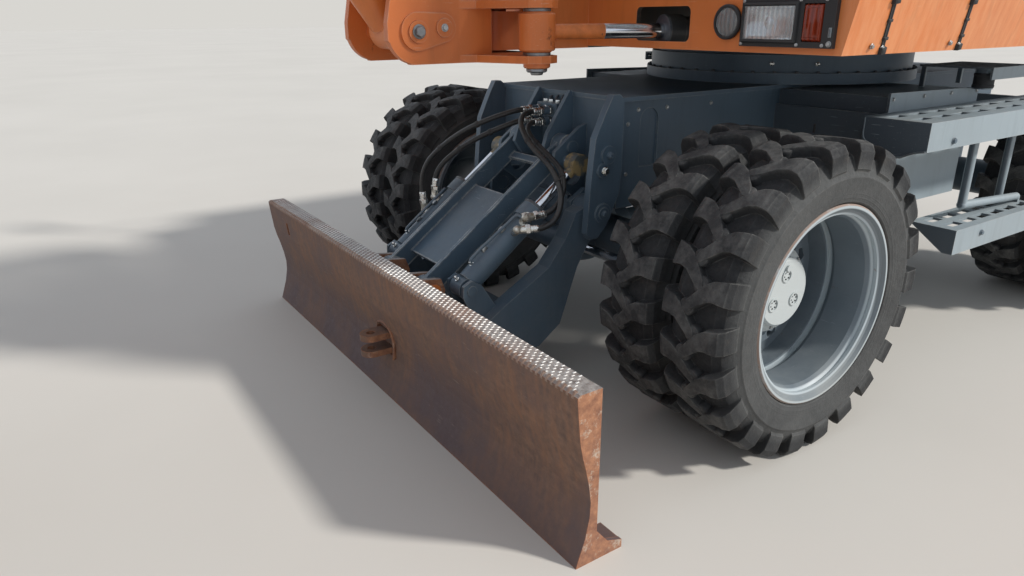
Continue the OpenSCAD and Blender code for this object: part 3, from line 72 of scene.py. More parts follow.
def place_camera():
    """Camera at the photograph's place: turned 235.9 degrees, 20.4 down, a wide 25.7 mm lens."""
    turn, down, tilt = math.radians(235.931), math.radians(20.3607), math.radians(-0.317)
    ahead = Vector((math.cos(turn) * math.cos(down), math.sin(turn) * math.cos(down), -math.sin(down)))
    right = ahead.cross(Vector(UP)).normalized()
    up = right.cross(ahead)
    across = right * math.cos(tilt) + up * math.sin(tilt)
    upward = -right * math.sin(tilt) + up * math.cos(tilt)
    bpy.ops.object.camera_add()
    camera = bpy.context.object
    camera.name = "camera"
    camera.matrix_world = Matrix.Translation(spot(3275.76, 2448.34, 1390.11)) @ Matrix(
        (across, upward, -ahead)).transposed().to_4x4()
    sensor, focal_pixels, picture_pixels = 36, 729.97, 1024
    camera.data.sensor_width = sensor
    camera.data.lens = sensor * focal_pixels / picture_pixels
    camera.data.clip_end = 400
    bpy.context.scene.camera = camera


place_camera()


def light_the_yard():
    """A soft sun from the rear left, as in the photograph, a pale sky and a plain pale floor."""
    bpy.ops.object.light_add(type="SUN")
    sun = bpy.context.object
    sun.name = "sun"
    sun.rotation_euler = Vector((-0.56, 0.64, 0.62)).to_track_quat("Z", "Y").to_euler()
    sun.data.energy = 3.0
    sun.data.angle = math.radians(5)
    sun.data.color = (1.0, 0.97, 0.92)
    world = bpy.data.worlds.new("pale sky")
    bpy.context.scene.world = world
    world.use_nodes = True
    tree = world.node_tree
    sky = tree.nodes["Background"]
    rays = tree.nodes.new("ShaderNodeLightPath").outputs
    seen = sums(tree, "MAXIMUM", rays["Is Camera Ray"], rays["Is Glossy Ray"])
    seen = sums(tree, "MAXIMUM", seen, rays["Is Transmission Ray"])
    give(sky, Strength=between(tree, seen, 0, 1, 0.6, 0.95),
         Color=layer(tree, rays["Is Camera Ray"], (0.80, 0.86, 0.95, 1), tone(221, 219, 214)))
    bpy.ops.mesh.primitive_plane_add(size=240, location=(0, 0, 0))
    floor = bpy.context.object
    floor.name = "floor"
    floor.data.materials.append(plain_floor())
    bpy.context.scene.view_settings.view_transform = "Standard"


# Shader helpers

def tone(red, green, blue):
    """A colour as it looks, 0 to 255, in Blender's linear values."""
    def straight(value):
        value /= 255
        return value / 12.92 if value <= 0.04045 else ((value + 0.055) / 1.055) ** 2.4
    return straight(red), straight(green), straight(blue), 1.0


def feed(node, values):
    """Gives values to a node's inputs by name or number, joined where they are sockets."""
    for key, value in values.items():
        if isinstance(value, bpy.types.NodeSocket):
            node.id_data.links.new(value, node.inputs[key])
        else:
            node.inputs[key].default_value = value
    return node


def give(node, **values):
    """The same by name; underscores in the names stand for spaces."""
    return feed(node, {label.replace("_", " "): value for label, value in values.items()})


def put(tree, kind, values=None, **settings):
    """Adds a node with its settings and feeds its inputs."""
    node = tree.nodes.new(kind)
    for name, value in settings.items():
        setattr(node, name, value)
    return feed(node, values or {})


def use(tree, group, **values):
    """Places a shader group and feeds it by name."""
    node = tree.nodes.new("ShaderNodeGroup")
    node.node_tree = group
    return give(node, **values).outputs


def sums(tree, operation, a, b=0.5, clamp=False):
    """One step of arithmetic."""
    return put(tree, "ShaderNodeMath", {0: a, 1: b}, operation=operation, use_clamp=clamp).outputs[0]


def times(tree, a, b, clamp=False):
    """One value times another."""
    return sums(tree, "MULTIPLY", a, b, clamp)


def between(tree, value, low, high, to_low=0.0, to_high=1.0):
    """A value that runs from low to high, made to run from to_low to to_high, and held there."""
    return put(tree, "ShaderNodeMapRange", {0: value, 1: low, 2: high, 3: to_low, 4: to_high}).outputs[0]


def layer(tree, share, under, over):
    """One colour over another, by its share."""
    return put(tree, "ShaderNodeMix", {0: share, 6: under, 7: over}, data_type="RGBA").outputs[2]


def place(tree, centre=None, turn=None, scale=None):
    """Object coordinates, centred, turned or stretched where asked."""
    where = tree.nodes.new("ShaderNodeTexCoord").outputs["Object"]
    if centre is not None:
        where = put(tree, "ShaderNodeVectorMath", {0: where, 1: tuple(centre)}, operation="SUBTRACT").outputs[0]
    if turn or scale:
        where = put(tree, "ShaderNodeMapping", {0: where, 2: turn or (0, 0, 0), 3: scale or (1, 1, 1)}).outputs[0]
    return where


def clouds(tree, scale, detail, rough, where=None):
    """Soft noise, in object coordinates unless others are given."""
    where = place(tree) if where is None else where
    return put(tree, "ShaderNodeTexNoise",
               {"Vector": where, "Scale": scale, "Detail": detail, "Roughness": rough}).outputs[0]


def split(tree, vector):
    """The three parts of a vector."""
    return put(tree, "ShaderNodeSeparateXYZ", {0: vector}).outputs


def facing_of(tree):
    """The three parts of the surface's direction."""
    return split(tree, tree.nodes.new("ShaderNodeNewGeometry").outputs["Normal"])


def length(tree, vector):
    """The length of a vector."""
    return put(tree, "ShaderNodeVectorMath", {0: vector}, operation="LENGTH").outputs["Value"]


def away_from_line(tree, centre, across=2):
    """Metres from the line through centre that runs along Y, or along Z with across=1."""
    parts = split(tree, place(tree, centre=centre))
    return length(tree, put(tree, "ShaderNodeCombineXYZ", {0: parts[0], 1: parts[across]}).outputs[0])


def effect(name, takes, gives):
    """A new shader group: its tree, its input sockets and its output sockets."""
    tree = bpy.data.node_groups.new(name, "ShaderNodeTree")
    for label, kind, value in takes:
        socket = tree.interface.new_socket(label, in_out="INPUT", socket_type="NodeSocket" + kind)
        socket.default_value = value
    for label, kind in gives:
        tree.interface.new_socket(label, in_out="OUTPUT", socket_type="NodeSocket" + kind)
    return tree, tree.nodes.new("NodeGroupInput").outputs, tree.nodes.new("NodeGroupOutput").inputs


# Shared effects

def make_edge_rub():
    """Where edges and corners are rubbed: the rounded normal leaves the real one there."""
    tree, given, result = effect("edge rub", [("Radius", "Float", 0.006), ("Amount", "Float", 0.6),
                                              ("Breakup", "Float", 14.0)], [("Mask", "Float")])
    rounded = put(tree, "ShaderNodeBevel", {"Radius": given["Radius"]}, samples=4).outputs[0]
    real = tree.nodes.new("ShaderNodeNewGeometry").outputs["Normal"]
    same = put(tree, "ShaderNodeVectorMath", {0: rounded, 1: real}, operation="DOT_PRODUCT").outputs["Value"]
    bent = between(tree, same, 0.995, 0.86)
    broken = between(tree, clouds(tree, given["Breakup"], 6, 0.7), 0.38, 0.6)
    mask = times(tree, times(tree, bent, broken), given["Amount"], clamp=True)
    tree.links.new(mask, result["Mask"])
    return tree


def make_settled_dust():
    """Dust on what faces up and on what lies near the ground."""
    tree, given, result = effect("settled dust", [("Amount", "Float", 0.5), ("Top", "Float", 0.9),
                                                  ("Scale", "Float", 3.0)], [("Mask", "Float")])
    upper = between(tree, facing_of(tree)[2], 0.25, 1.0, 0.0, 0.75)
    height = split(tree, place(tree))[2]
    lower = between(tree, sums(tree, "DIVIDE", height, given["Top"]), 1.0, 0.0, 0.0, 0.6)
    patch = between(tree, clouds(tree, given["Scale"], 6, 0.65), 0.35, 0.68)
    fine = between(tree, clouds(tree, 90, 3, 0.6), 0.3, 0.7, 0.6, 1.0)
    mask = times(tree, times(tree, sums(tree, "ADD", upper, lower), patch), fine)
    tree.links.new(times(tree, mask, given["Amount"], clamp=True), result["Mask"])
    return tree


def make_rust():
    """Rust in patches with a darker heart, and its colour."""
    tree, given, result = effect("rust", [("Amount", "Float", 0.3), ("Scale", "Float", 5.0)],
                                 [("Mask", "Float"), ("Color", "Color")])
    big = clouds(tree, given["Scale"], 8, 0.68)
    edge = sums(tree, "SUBTRACT", 0.78, times(tree, given["Amount"], 0.55))
    mask = between(tree, sums(tree, "SUBTRACT", big, edge), -0.03, 0.05)
    hue = clouds(tree, 26, 6, 0.7)
    shade = layer(tree, between(tree, hue, 0.35, 0.65), tone(74, 40, 30), tone(160, 92, 52))
    tree.links.new(mask, result["Mask"])
    tree.links.new(shade, result["Color"])
    return tree


def make_scuffs():
    """Thin scratches in two directions."""
    tree, given, result = effect("scuffs", [("Amount", "Float", 0.3), ("Scale", "Float", 18.0)], [("Mask", "Float")])
    masks = []
    for turn, stretch in (((0.3, 0.5, 0.9), (1, 14, 14)), ((1.1, -0.7, 0.2), (16, 1, 12))):
        lines = clouds(tree, given["Scale"], 2, 0.4, place(tree, turn=turn, scale=stretch))
        masks.append(between(tree, lines, 0.70, 0.76))
    crossed = sums(tree, "MAXIMUM", *masks)
    patch = between(tree, clouds(tree, 2.3, 3, 0.6), 0.45, 0.6)
    tree.links.new(times(tree, times(tree, crossed, patch), given["Amount"], clamp=True), result["Mask"])
    return tree


edge_rub, settled_dust, rust, scuffs = make_edge_rub(), make_settled_dust(), make_rust(), make_scuffs()


# Finishes

def new_material(name):
    """A material, its node tree and its shader."""
    material = bpy.data.materials.new(name)
    material.use_nodes = True
    return material, material.node_tree, material.node_tree.nodes["Principled BSDF"]


def plain_floor():
    """Pale ground with faint patches."""
    material, tree, shader = new_material("pale floor")
    patches = clouds(tree, 0.35, 5, 0.6)
    colour = layer(tree, between(tree, patches, 0.3, 0.7), tone(208, 204, 197), tone(214, 210, 203))
    give(shader, Base_Color=colour, Roughness=0.9, Specular_IOR_Level=0.2)
    return material


def raise_surface(tree, shader, height, distance, strength=0.6, rounding=0.0):
    """Bump from a height; rounding softens hard edges by that many metres."""
    bump = put(tree, "ShaderNodeBump", {"Height": height, "Distance": distance, "Strength": strength})
    if rounding:
        give(bump, Normal=put(tree, "ShaderNodeBevel", {"Radius": rounding}, samples=4).outputs[0])
    give(shader, Normal=bump.outputs[0])


def painted(name, colour, bare, edge, dust, rusty=0.1, scratch=0.3, rough=0.38, radius=0.006, dust_top=1.2,
            rust_scale=5.0, vary=0.12, tint=None, plated=()):
    """Worn paint on steel: faded patches, rubbed edges, scratches, rust and settled dust."""
    material, tree, shader = new_material(name)
    base = tone(*colour)
    faded = clouds(tree, 1.7, 5, 0.6)
    low = tuple(c * (1 - vary) for c in base[:3]) + (1,)
    high = tuple(min(1, c * (1 + vary)) for c in base[:3]) + (1,)
    film = layer(tree, between(tree, faded, 0.3, 0.7), low, high)
    if tint:
        film = tint(tree, film)
    streaks = clouds(tree, 5, 4, 0.6, place(tree, scale=(6, 6, 0.7)))
    film = layer(tree, between(tree, streaks, 0.5, 0.75, 0, 0.18), film, tone(*[c * 0.6 for c in colour]))
    marks = use(tree, scuffs, Amount=scratch, Scale=16)["Mask"]
    film = layer(tree, marks, film, tone(*[min(255, c * 0.5 + 110) for c in colour]))
    worn = use(tree, edge_rub, Radius=radius, Amount=edge, Breakup=11)["Mask"]
    film = layer(tree, worn, film, tone(*bare))
    rusted = use(tree, rust, Amount=rusty, Scale=rust_scale)
    film = layer(tree, rusted["Mask"], film, rusted["Color"])
    dusty = use(tree, settled_dust, Amount=dust, Top=dust_top, Scale=2.6)["Mask"]
    film = layer(tree, dusty, film, tone(168, 160, 146))
    give(shader, Base_Color=film)
    dull = sums(tree, "MAXIMUM", dusty, rusted["Mask"])
    gloss = between(tree, sums(tree, "ADD", dull, between(tree, faded, 0.2, 0.8, 0, 0.25)), 0, 1, rough, 0.86)
    if plated:
        bright = None
        for centre, reach in plated:
            near = between(tree, length(tree, place(tree, centre=centre)), reach, reach - 0.001)
            bright = near if bright is None else sums(tree, "MAXIMUM", bright, near)
        grimy = between(tree, clouds(tree, 30, 5, 0.6), 0.45, 0.65)
        plating = layer(tree, grimy, tone(206, 204, 196), tone(128, 118, 100))
        give(shader, Base_Color=layer(tree, bright, film, plating),
             Metallic=times(tree, bright, between(tree, grimy, 0, 1, 0.95, 0.3)))
        gloss = put(tree, "ShaderNodeMix", {0: bright, 2: gloss, 3: between(tree, grimy, 0, 1, 0.25, 0.6)}).outputs[0]
    give(shader, Roughness=gloss)
    skin = clouds(tree, 160, 3, 0.6)
    height = sums(tree, "SUBTRACT", times(tree, skin, 0.25), times(tree, worn, 0.5))
    raise_surface(tree, shader, sums(tree, "ADD", height, times(tree, rusted["Mask"], 0.3)), 0.0012)
    return material


def bare_metal(name, colour, rough, spread=0.2, dirt=0.3, dirt_tone=(90, 84, 76)):
    """Bare steel with a fine grain and a film of grime."""
    material, tree, shader = new_material(name)
    grain = clouds(tree, 70, 3, 0.6)
    grime = times(tree, between(tree, clouds(tree, 9, 6, 0.7), 0.42, 0.7), dirt)
    film = layer(tree, between(tree, grain, 0.3, 0.7, 0, 0.25), tone(*colour), tone(*[c * 0.8 for c in colour]))
    give(shader, Base_Color=layer(tree, grime, film, tone(*dirt_tone)), Metallic=between(tree, grime, 0, 0.6, 1.0, 0.1),
         Roughness=between(tree, sums(tree, "ADD", grain, grime), 0.3, 1.2, rough, rough + spread))
    raise_surface(tree, shader, grain, 0.0003, 0.4)
    return material


def moulded(name, colour, rough=0.55):
    """Black or grey plastic and rubber trim with a fine moulded grain and dust."""
    material, tree, shader = new_material(name)
    patch = clouds(tree, 4, 5, 0.6)
    film = layer(tree, between(tree, patch, 0.3, 0.7), tone(*colour), tone(*[min(255, c * 1.25 + 4) for c in colour]))
    dusty = use(tree, settled_dust, Amount=0.35, Top=1.6, Scale=4)["Mask"]
    worn = use(tree, edge_rub, Radius=0.004, Amount=0.35, Breakup=20)["Mask"]
    film = layer(tree, worn, film, tone(*[min(255, c + 60) for c in colour]))
    give(shader, Base_Color=layer(tree, dusty, film, tone(140, 134, 124)))
    give(shader, Roughness=between(tree, sums(tree, "ADD", dusty, patch), 0.2, 1.2, rough, 0.9))
    raise_surface(tree, shader, clouds(tree, 240, 2, 0.5), 0.0004)
    return material


def window(name):
    """Tinted glass with dust in its lower corners."""
    material, tree, shader = new_material(name)
    dusty = use(tree, settled_dust, Amount=0.5, Top=4.0, Scale=3)["Mask"]
    give(shader, Base_Color=layer(tree, dusty, tone(196, 208, 206), tone(170, 166, 156)), Roughness=0.03, IOR=1.45)
    give(shader, Alpha=between(tree, dusty, 0, 1, 0.32, 0.75))
    return material


def tyre_rubber(name, centre):
    """Black rubber, greyed by dust: worn lug faces, dark grooves, a clean lip by the rim."""
    material, tree, shader = new_material(name)
    radius = away_from_line(tree, centre)
    patch = clouds(tree, 5, 6, 0.65)
    film = layer(tree, between(tree, patch, 0.3, 0.7), tone(35, 36, 38), tone(55, 56, 57))
    fine = between(tree, clouds(tree, 60, 5, 0.7), 0.35, 0.7)
    wall = between(tree, radius, 0.47, 0.44, 0.0, 0.42)
    film = layer(tree, times(tree, wall, between(tree, patch, 0.25, 0.6, 0.5, 1.0)), film, tone(104, 105, 104))
    blotch = between(tree, clouds(tree, 16, 6, 0.72), 0.4, 0.66)
    tread = times(tree, between(tree, radius, 0.508, 0.521), between(tree, blotch, 0, 1, 0.05, 0.6))
    film = layer(tree, tread, film, tone(112, 112, 110))
    worn = use(tree, edge_rub, Radius=0.006, Amount=0.55, Breakup=16)["Mask"]
    film = layer(tree, worn, film, tone(132, 131, 127))
    mud = between(tree, clouds(tree, 9, 5, 0.7), 0.5, 0.68)
    mud = times(tree, between(tree, radius, 0.5, 0.486, 0.0, 0.5), mud)
    mud = times(tree, mud, between(tree, radius, 0.46, 0.475))
    film = layer(tree, mud, film, tone(76, 72, 68))
    give(shader, Base_Color=film, Roughness=between(tree, fine, 0, 1, 0.62, 0.9), Specular_IOR_Level=0.35)
    cracks = clouds(tree, 34, 6, 0.75)
    rings = sums(tree, "SINE", times(tree, radius, 2 * math.pi / 0.0125))
    bands = sums(tree, "MAXIMUM", between(tree, radius, 0.375, 0.37), between(tree, radius, 0.432, 0.436))
    rings = times(tree, between(tree, rings, 0.6, 0.95, 0.0, 0.16), between(tree, radius, 0.452, 0.445))
    rings = times(tree, rings, bands)
    relief = sums(tree, "ADD", sums(tree, "ADD", cracks, times(tree, fine, 0.3)), rings)
    raise_surface(tree, shader, relief, 0.005, 0.6, rounding=0.006)
    return material


def wheel_paint(name, centre):
    """Blue-grey wheel paint: bright rolled edge with rust at its lip, a dish darkened by painted shade, lighter below
    with dust and painted sunlight.
    """
    material, tree, shader = new_material(name)
    radius = away_from_line(tree, centre)
    patch = clouds(tree, 3.5, 5, 0.6)
    # the base film is darker than the wheel's own grey-blue: painted shade in the dish and barrel
    film = layer(tree, between(tree, patch, 0.3, 0.7), tone(96, 107, 116), tone(114, 125, 133))
    for start, end, share, colour in ((0.160, 0.150, 1, (196, 202, 202)), (0.291, 0.295, 0.8, (190, 201, 206)),
                                      (0.302, 0.305, 0.8, (98, 106, 112)), (0.318, 0.321, 0.88, (184, 194, 198))):
        film = layer(tree, between(tree, radius, start, end, 0, share), film, tone(*colour))
    marks = use(tree, scuffs, Amount=0.35, Scale=20)["Mask"]
    film = layer(tree, marks, film, tone(178, 186, 190))
    lip = between(tree, clouds(tree, 12, 5, 0.7), 0.3, 0.5)
    lip = times(tree, between(tree, radius, 0.3255, 0.328), lip)
    film = layer(tree, times(tree, lip, 0.75), film, tone(146, 108, 84))
    chips = use(tree, rust, Amount=0.12, Scale=30)
    film = layer(tree, chips["Mask"], film, chips["Color"])
    # lighter towards the bottom: dust together with painted sunlight on the lower barrel
    height = split(tree, place(tree))[2]
    dusty = times(tree, between(tree, height, 0.42, 0.2, 0, 0.35), between(tree, patch, 0.3, 0.6))
    film = layer(tree, dusty, film, tone(176, 176, 170))
    give(shader, Base_Color=film, Roughness=between(tree, sums(tree, "ADD", patch, lip), 0.2, 1.2, 0.36, 0.8))
    raise_surface(tree, shader, clouds(tree, 140, 3, 0.6), 0.0006)
    return material


def blade_rust(name):
    """Bare rusted plate: brown face, darker and bluer low down, bright trodden top, orange edges."""
    material, tree, shader = new_material(name)
    parts, facing = split(tree, place(tree)), facing_of(tree)
    broad = clouds(tree, 2.2, 6, 0.62)
    fine = clouds(tree, 38, 6, 0.72)
    runs = clouds(tree, 6, 5, 0.65, place(tree, scale=(5, 7, 0.6)))
    film = layer(tree, between(tree, fine, 0.32, 0.68), tone(92, 70, 60), tone(138, 108, 90))
    film = layer(tree, between(tree, runs, 0.42, 0.66, 0, 0.42), film, tone(150, 104, 74))
    low = sums(tree, "ADD", between(tree, parts[2], 0.30, 0.06, 0, 0.7), between(tree, broad, 0.45, 0.62, -0.2, 0.5))
    film = layer(tree, put(tree, "ShaderNodeClamp", {0: low}).outputs[0], film, tone(96, 80, 80))
    marks = use(tree, scuffs, Amount=0.4, Scale=13)["Mask"]
    film = layer(tree, marks, film, tone(170, 150, 132))
    rim = use(tree, edge_rub, Radius=0.007, Amount=0.8, Breakup=9)["Mask"]
    film = layer(tree, rim, film, tone(176, 112, 76))
    ends = between(tree, sums(tree, "ABSOLUTE", facing[1]), 0.6, 0.9)
    end_rust = layer(tree, between(tree, fine, 0.3, 0.7), tone(126, 80, 60), tone(196, 138, 100))
    film = layer(tree, times(tree, ends, 0.75), film, end_rust)
    chips = times(tree, ends, between(tree, clouds(tree, 22, 8, 0.8), 0.54, 0.66, 0, 0.8))
    film = layer(tree, chips, film, tone(198, 186, 170))
    trodden = between(tree, facing[2], 0.55, 0.9)
    steel = layer(tree, between(tree, fine, 0.35, 0.62), tone(122, 114, 110), tone(178, 174, 170))
    steel = layer(tree, between(tree, broad, 0.52, 0.66, 0, 0.7), steel, tone(140, 104, 84))
    high = between(tree, parts[2], 0.45, 0.5)
    top = times(tree, trodden, high)
    give(shader, Base_Color=layer(tree, top, film, steel), Metallic=times(tree, top, 0.35))
    give(shader, Roughness=between(tree, fine, 0.3, 0.7, 0.55, 0.88))
    pits = sums(tree, "ADD", times(tree, fine, 0.7), times(tree, broad, 0.5))
    raise_surface(tree, shader, pits, 0.003, 0.6)
    return material


def chromed(name, eye, reach, colour, grime=0.25, dusty=None, upright=False):
    """Chromed rod; within reach of its eye's pin line it wears paint, or paint and dry grease."""
    material, tree, shader = new_material(name)
    away = away_from_line(tree, eye, across=1 if upright else 2)
    film = clouds(tree, 14, 5, 0.6)
    chips = between(tree, clouds(tree, 24, 6, 0.7), 0.40, 0.36, 0.0, 0.03)
    coated = between(tree, sums(tree, "ADD", away, chips), reach, reach - 0.0015)
    oil = times(tree, between(tree, film, 0.5, 0.72), grime)
    metal = layer(tree, oil, tone(206, 209, 214), tone(120, 100, 74))
    coat = layer(tree, between(tree, film, 0.35, 0.65), tone(*colour), tone(*[c * 0.82 for c in colour]))
    if dusty:
        coat = layer(tree, between(tree, clouds(tree, 22, 4, 0.6), 0.42, 0.56), coat, tone(*dusty))
    give(shader, Base_Color=layer(tree, coated, metal, coat))
    shine = times(tree, sums(tree, "SUBTRACT", 1.0, coated), between(tree, oil, 0, 0.6, 1.0, 0.3))
    give(shader, Metallic=shine,
         Roughness=sums(tree, "ADD", times(tree, coated, 0.4), between(tree, film, 0.3, 0.8, 0.09, 0.22)))
    return material


def hose_rubber(name):
    """Black hose cover with its cloth print and dust on the upper side."""
    material, tree, shader = new_material(name)
    fine = clouds(tree, 130, 3, 0.6)
    film = layer(tree, between(tree, fine, 0.35, 0.65), tone(27, 28, 30), tone(46, 46, 47))
    dusty = use(tree, settled_dust, Amount=0.55, Top=1.3, Scale=7)["Mask"]
    give(shader, Base_Color=layer(tree, dusty, film, tone(116, 110, 98)))
    give(shader, Roughness=between(tree, dusty, 0, 1, 0.42, 0.85))
    raise_surface(tree, shader, fine, 0.0006, 0.5)
    return material


def waves(tree, where, scale, direction):
    """Bands across one axis."""
    return put(tree, "ShaderNodeTexWave", {"Vector": where, "Scale": scale}, bands_direction=direction).outputs[1]


def lamp_glass(name, colour, clear):
    """Clear or coloured glass with ribs inside."""
    material, tree, shader = new_material(name)
    ribs = waves(tree, place(tree), 19.0, "Y")
    pale = tone(*[min(255, c * 1.15 + 8) for c in colour])
    give(shader, Base_Color=layer(tree, between(tree, ribs, 0.2, 0.8), tone(*colour), pale), Roughness=0.08)
    give(shader, Transmission_Weight=clear, IOR=1.48)
    raise_surface(tree, shader, ribs, 0.0015, 0.3)
    return material


def woven_cloth(name, colour, second):
    """Seat cloth: a small two-tone weave."""
    material, tree, shader = new_material(name)
    where = place(tree)
    knit = times(tree, waves(tree, where, 150.0, "Y"), waves(tree, where, 150.0, "X"))
    worn = between(tree, clouds(tree, 6, 4, 0.6, where), 0.3, 0.7)
    film = layer(tree, knit, tone(*colour), tone(*second))
    give(shader, Base_Color=layer(tree, times(tree, worn, 0.25), film, tone(96, 92, 88)), Roughness=0.9)
    give(shader, Sheen_Weight=0.25)
    raise_surface(tree, shader, knit, 0.0008, 0.5)
    return material


def painted_light_grime_and_soot(tree, film):
    """Under and inside the deck's tray the paint is darkened: old grease and road dirt with painted shade. The lower
    skirt gets pale runs lightened with painted sunlight, and the exhaust's mouth gets soot.
    """
    parts = split(tree, place(tree))
    out = sums(tree, "ABSOLUTE", parts[1])
    behind = between(tree, parts[0], spot(1318.5, 0, 0).x, spot(1317.5, 0, 0).x)
    within = times(tree, behind, between(tree, out, 1.1985, 1.1975))
    # undersides and the tray's inside go dark: painted shade over grime
    below = times(tree, between(tree, facing_of(tree)[2], -0.5, -0.9), between(tree, parts[2], 1.5, 1.4))
    share = sums(tree, "MAXIMUM", below, times(tree, within, between(tree, parts[2], 1.442, 1.440)))
    film = layer(tree, share, film, tone(60, 56, 53))
    # pale streaks on the lower outer skirt, lightened with painted sunlight
    runs = clouds(tree, 5, 5, 0.65, place(tree, scale=(9, 9, 0.5)))
    skirt = times(tree, between(tree, parts[2], 1.46, 1.44), between(tree, out, 1.17, 1.2))
    film = layer(tree, times(tree, skirt, between(tree, runs, 0.35, 0.65, 0.1, 0.6)), film, tone(233, 160, 108))
    reach = away_from_line(tree, spot(-250, -420, 0), across=1)
    sooty = times(tree, between(tree, reach, 0.061, 0.06), between(tree, parts[2], 2.182, 2.184))
    return layer(tree, sooty, film, tone(70, 62, 57))


def painted_shade_on_forward_faces(tree, film):
    """The ends of steps and boxes that look forward are darkened toward the chassis' slate: painted shade on the faces
    turned away from the sun.
    """
    return layer(tree, between(tree, facing_of(tree)[0], 0.75, 0.9, 0.0, 0.9), film, tone(66, 77, 88))


HOSE_ROUTES = {
    "blade_hose_left_top": [(1490, 26, 1035), (1543, 26, 1035), (1592, 42, 1025), (1624, 75, 1001), (1639, 116, 971),
        (1642, 157, 938), (1636, 199, 906), (1627, 243, 877), (1623, 284, 845), (1626, 321, 807), (1635, 350, 764),
        (1656, 368, 719), (1692, 375, 681), (1740, 368, 664), (1790, 350, 664)],
    "blade_hose_left_low": [(1484, 26, 992), (1535, 26, 992), (1577, 54, 978), (1596, 95, 956), (1596, 140, 929),
        (1588, 183, 901), (1579, 226, 874), (1576, 267, 844), (1587, 302, 806), (1608, 323, 765), (1642, 333, 728),
        (1689, 334, 705), (1740, 328, 702)],
    "blade_hose_right_top": [(1490, -50, 1035), (1554, -50, 1035), (1611, -74, 1020), (1661, -108, 999),
        (1705, -147, 974), (1744, -188, 944), (1779, -229, 908), (1810, -268, 868), (1835, -305, 823),
        (1851, -331, 767), (1855, -341, 704), (1852, -336, 640)],
    "blade_hose_right_low": [(1484, -50, 992), (1546, -50, 992), (1599, -79, 972), (1643, -117, 948), (1681, -159, 920),
        (1714, -201, 890), (1748, -240, 854), (1780, -275, 813), (1805, -299, 762), (1812, -302, 700)],
}
ELBOWS = []
for course in HOSE_ROUTES.values():
    before, last = Vector(course[-2]), Vector(course[-1])
    ELBOWS.append((spot(*(last + (last - before).normalized() * 36)), 0.044))

SLATE = (80, 100, 116)
ORANGE = (214, 121, 60)
STEP_GREY = (150, 163, 170)
slate = painted("slate paint", SLATE, bare=(166, 168, 164), edge=0.62, dust=0.42, rusty=0.10, scratch=0.3)
link_slate = painted("slate paint on the links", SLATE, bare=(206, 206, 200), edge=1.3, dust=0.3,
                     rusty=0.14, scratch=0.8, radius=0.013)
dark_slate = painted("slate paint, grimy", (62, 68, 76), bare=(120, 118, 112), edge=0.4, dust=0.35, rusty=0.2)
# the grey step paint carries painted shade on its forward-facing ends
step_grey = painted("grey step paint", STEP_GREY, bare=(190, 190, 184), edge=0.5, dust=0.35,
                    rusty=0.12, scratch=0.5, vary=0.06, tint=painted_shade_on_forward_faces)
orange = painted("orange paint", ORANGE, bare=(232, 172, 132), edge=0.4, dust=0.25,
                 rusty=0.06, scratch=0.35, rough=0.32, tint=painted_light_grime_and_soot, dust_top=2.5)
post_orange = painted("orange paint on the swing post", (206, 113, 56), bare=(206, 172, 146), edge=0.55, dust=0.25,
                      rusty=0.16, scratch=0.6, rough=0.34, rust_scale=9)
boom_orange = painted("orange paint on the boom", ORANGE, bare=(210, 170, 140), edge=0.55, dust=0.15,
                      rusty=0.05, scratch=0.4, rough=0.3)
bucket_steel = painted("worn bucket steel", (104, 92, 84), bare=(176, 170, 162), edge=0.9, dust=0.3,
                       rusty=0.55, scratch=0.8, rough=0.5, rust_scale=3)
black_paint = painted("black paint", (36, 37, 39), bare=(120, 118, 114), edge=0.5, dust=0.35, rusty=0.08, rough=0.45)
black_trim = moulded("black trim", (30, 31, 33))
dark_trim = moulded("dark grey trim", (58, 60, 63), rough=0.6)
engine_iron = painted("engine iron", (70, 74, 76), bare=(140, 140, 138), edge=0.4, dust=0.6, rusty=0.25)
tinted_glass = window("tinted cab glass")
steel = bare_metal("plated steel", (176, 178, 178), 0.28)
bright_steel = bare_metal("bright fittings", (214, 214, 210), 0.2, 0.15, 0.2)
cast_steel = bare_metal("turned steel", (140, 142, 144), 0.35, 0.25, 0.4)
rusty_plate = blade_rust("rusted blade plate")
hose_black = hose_rubber("hose rubber")
seat_cloth = woven_cloth("seat cloth", (38, 39, 42), (66, 66, 68))


# Finishes of the nodes

def dress(nodes, material):
    """Gives nodes of the frame one finish."""
    for name in nodes:
        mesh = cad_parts[name].data
        mesh.materials.clear()
        mesh.materials.append(material)


def middle(node):
    """The middle of a node's box."""
    low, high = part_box(node)
    return (low + high) / 2


dress(["frame", "slew_ring", "front_axle", "rear_axle", "knuckle_left", "knuckle_right", "blade_arms"], slate)
dress(["blade_barrels"], painted("slate paint, plated elbows", SLATE, bare=(178, 178, 172), edge=0.7, dust=0.35,
                                 rusty=0.08, scratch=0.5, plated=ELBOWS))
dress(["blade_links"], link_slate)
dress(["steps"], step_grey)
dress(["blade"], rusty_plate)
dress(["deck", "counterweight", "panels", "hood", "cab", "door"], orange)
dress(["post"], post_orange)
dress(["swing_barrel"], black_paint)
dress(["boom", "arm", "lift_barrel", "arm_barrel", "bucket_barrel", "rocker", "bucket_link"], boom_orange)
dress(["bucket"], bucket_steel)
dress(["engine"], engine_iron)
dress(["rails_and_mirrors"], black_paint)
dress(["controls", "lamps", "seat"], black_trim)
dress(["cab_glass", "door_glass"], tinted_glass)
dress(["steer_rod"], chromed("steering rod chrome", (0, 0, 9), 0.01, SLATE))
dress(["blade_rods"], chromed("blade rod chrome", spot(1490, 0, 855), 0.066, (96, 102, 102), 0.2, dusty=(158, 138, 98)))
dress(["lift_rod"], chromed("lift rod chrome", spot(3040, 0, 2640), 0.075, ORANGE))
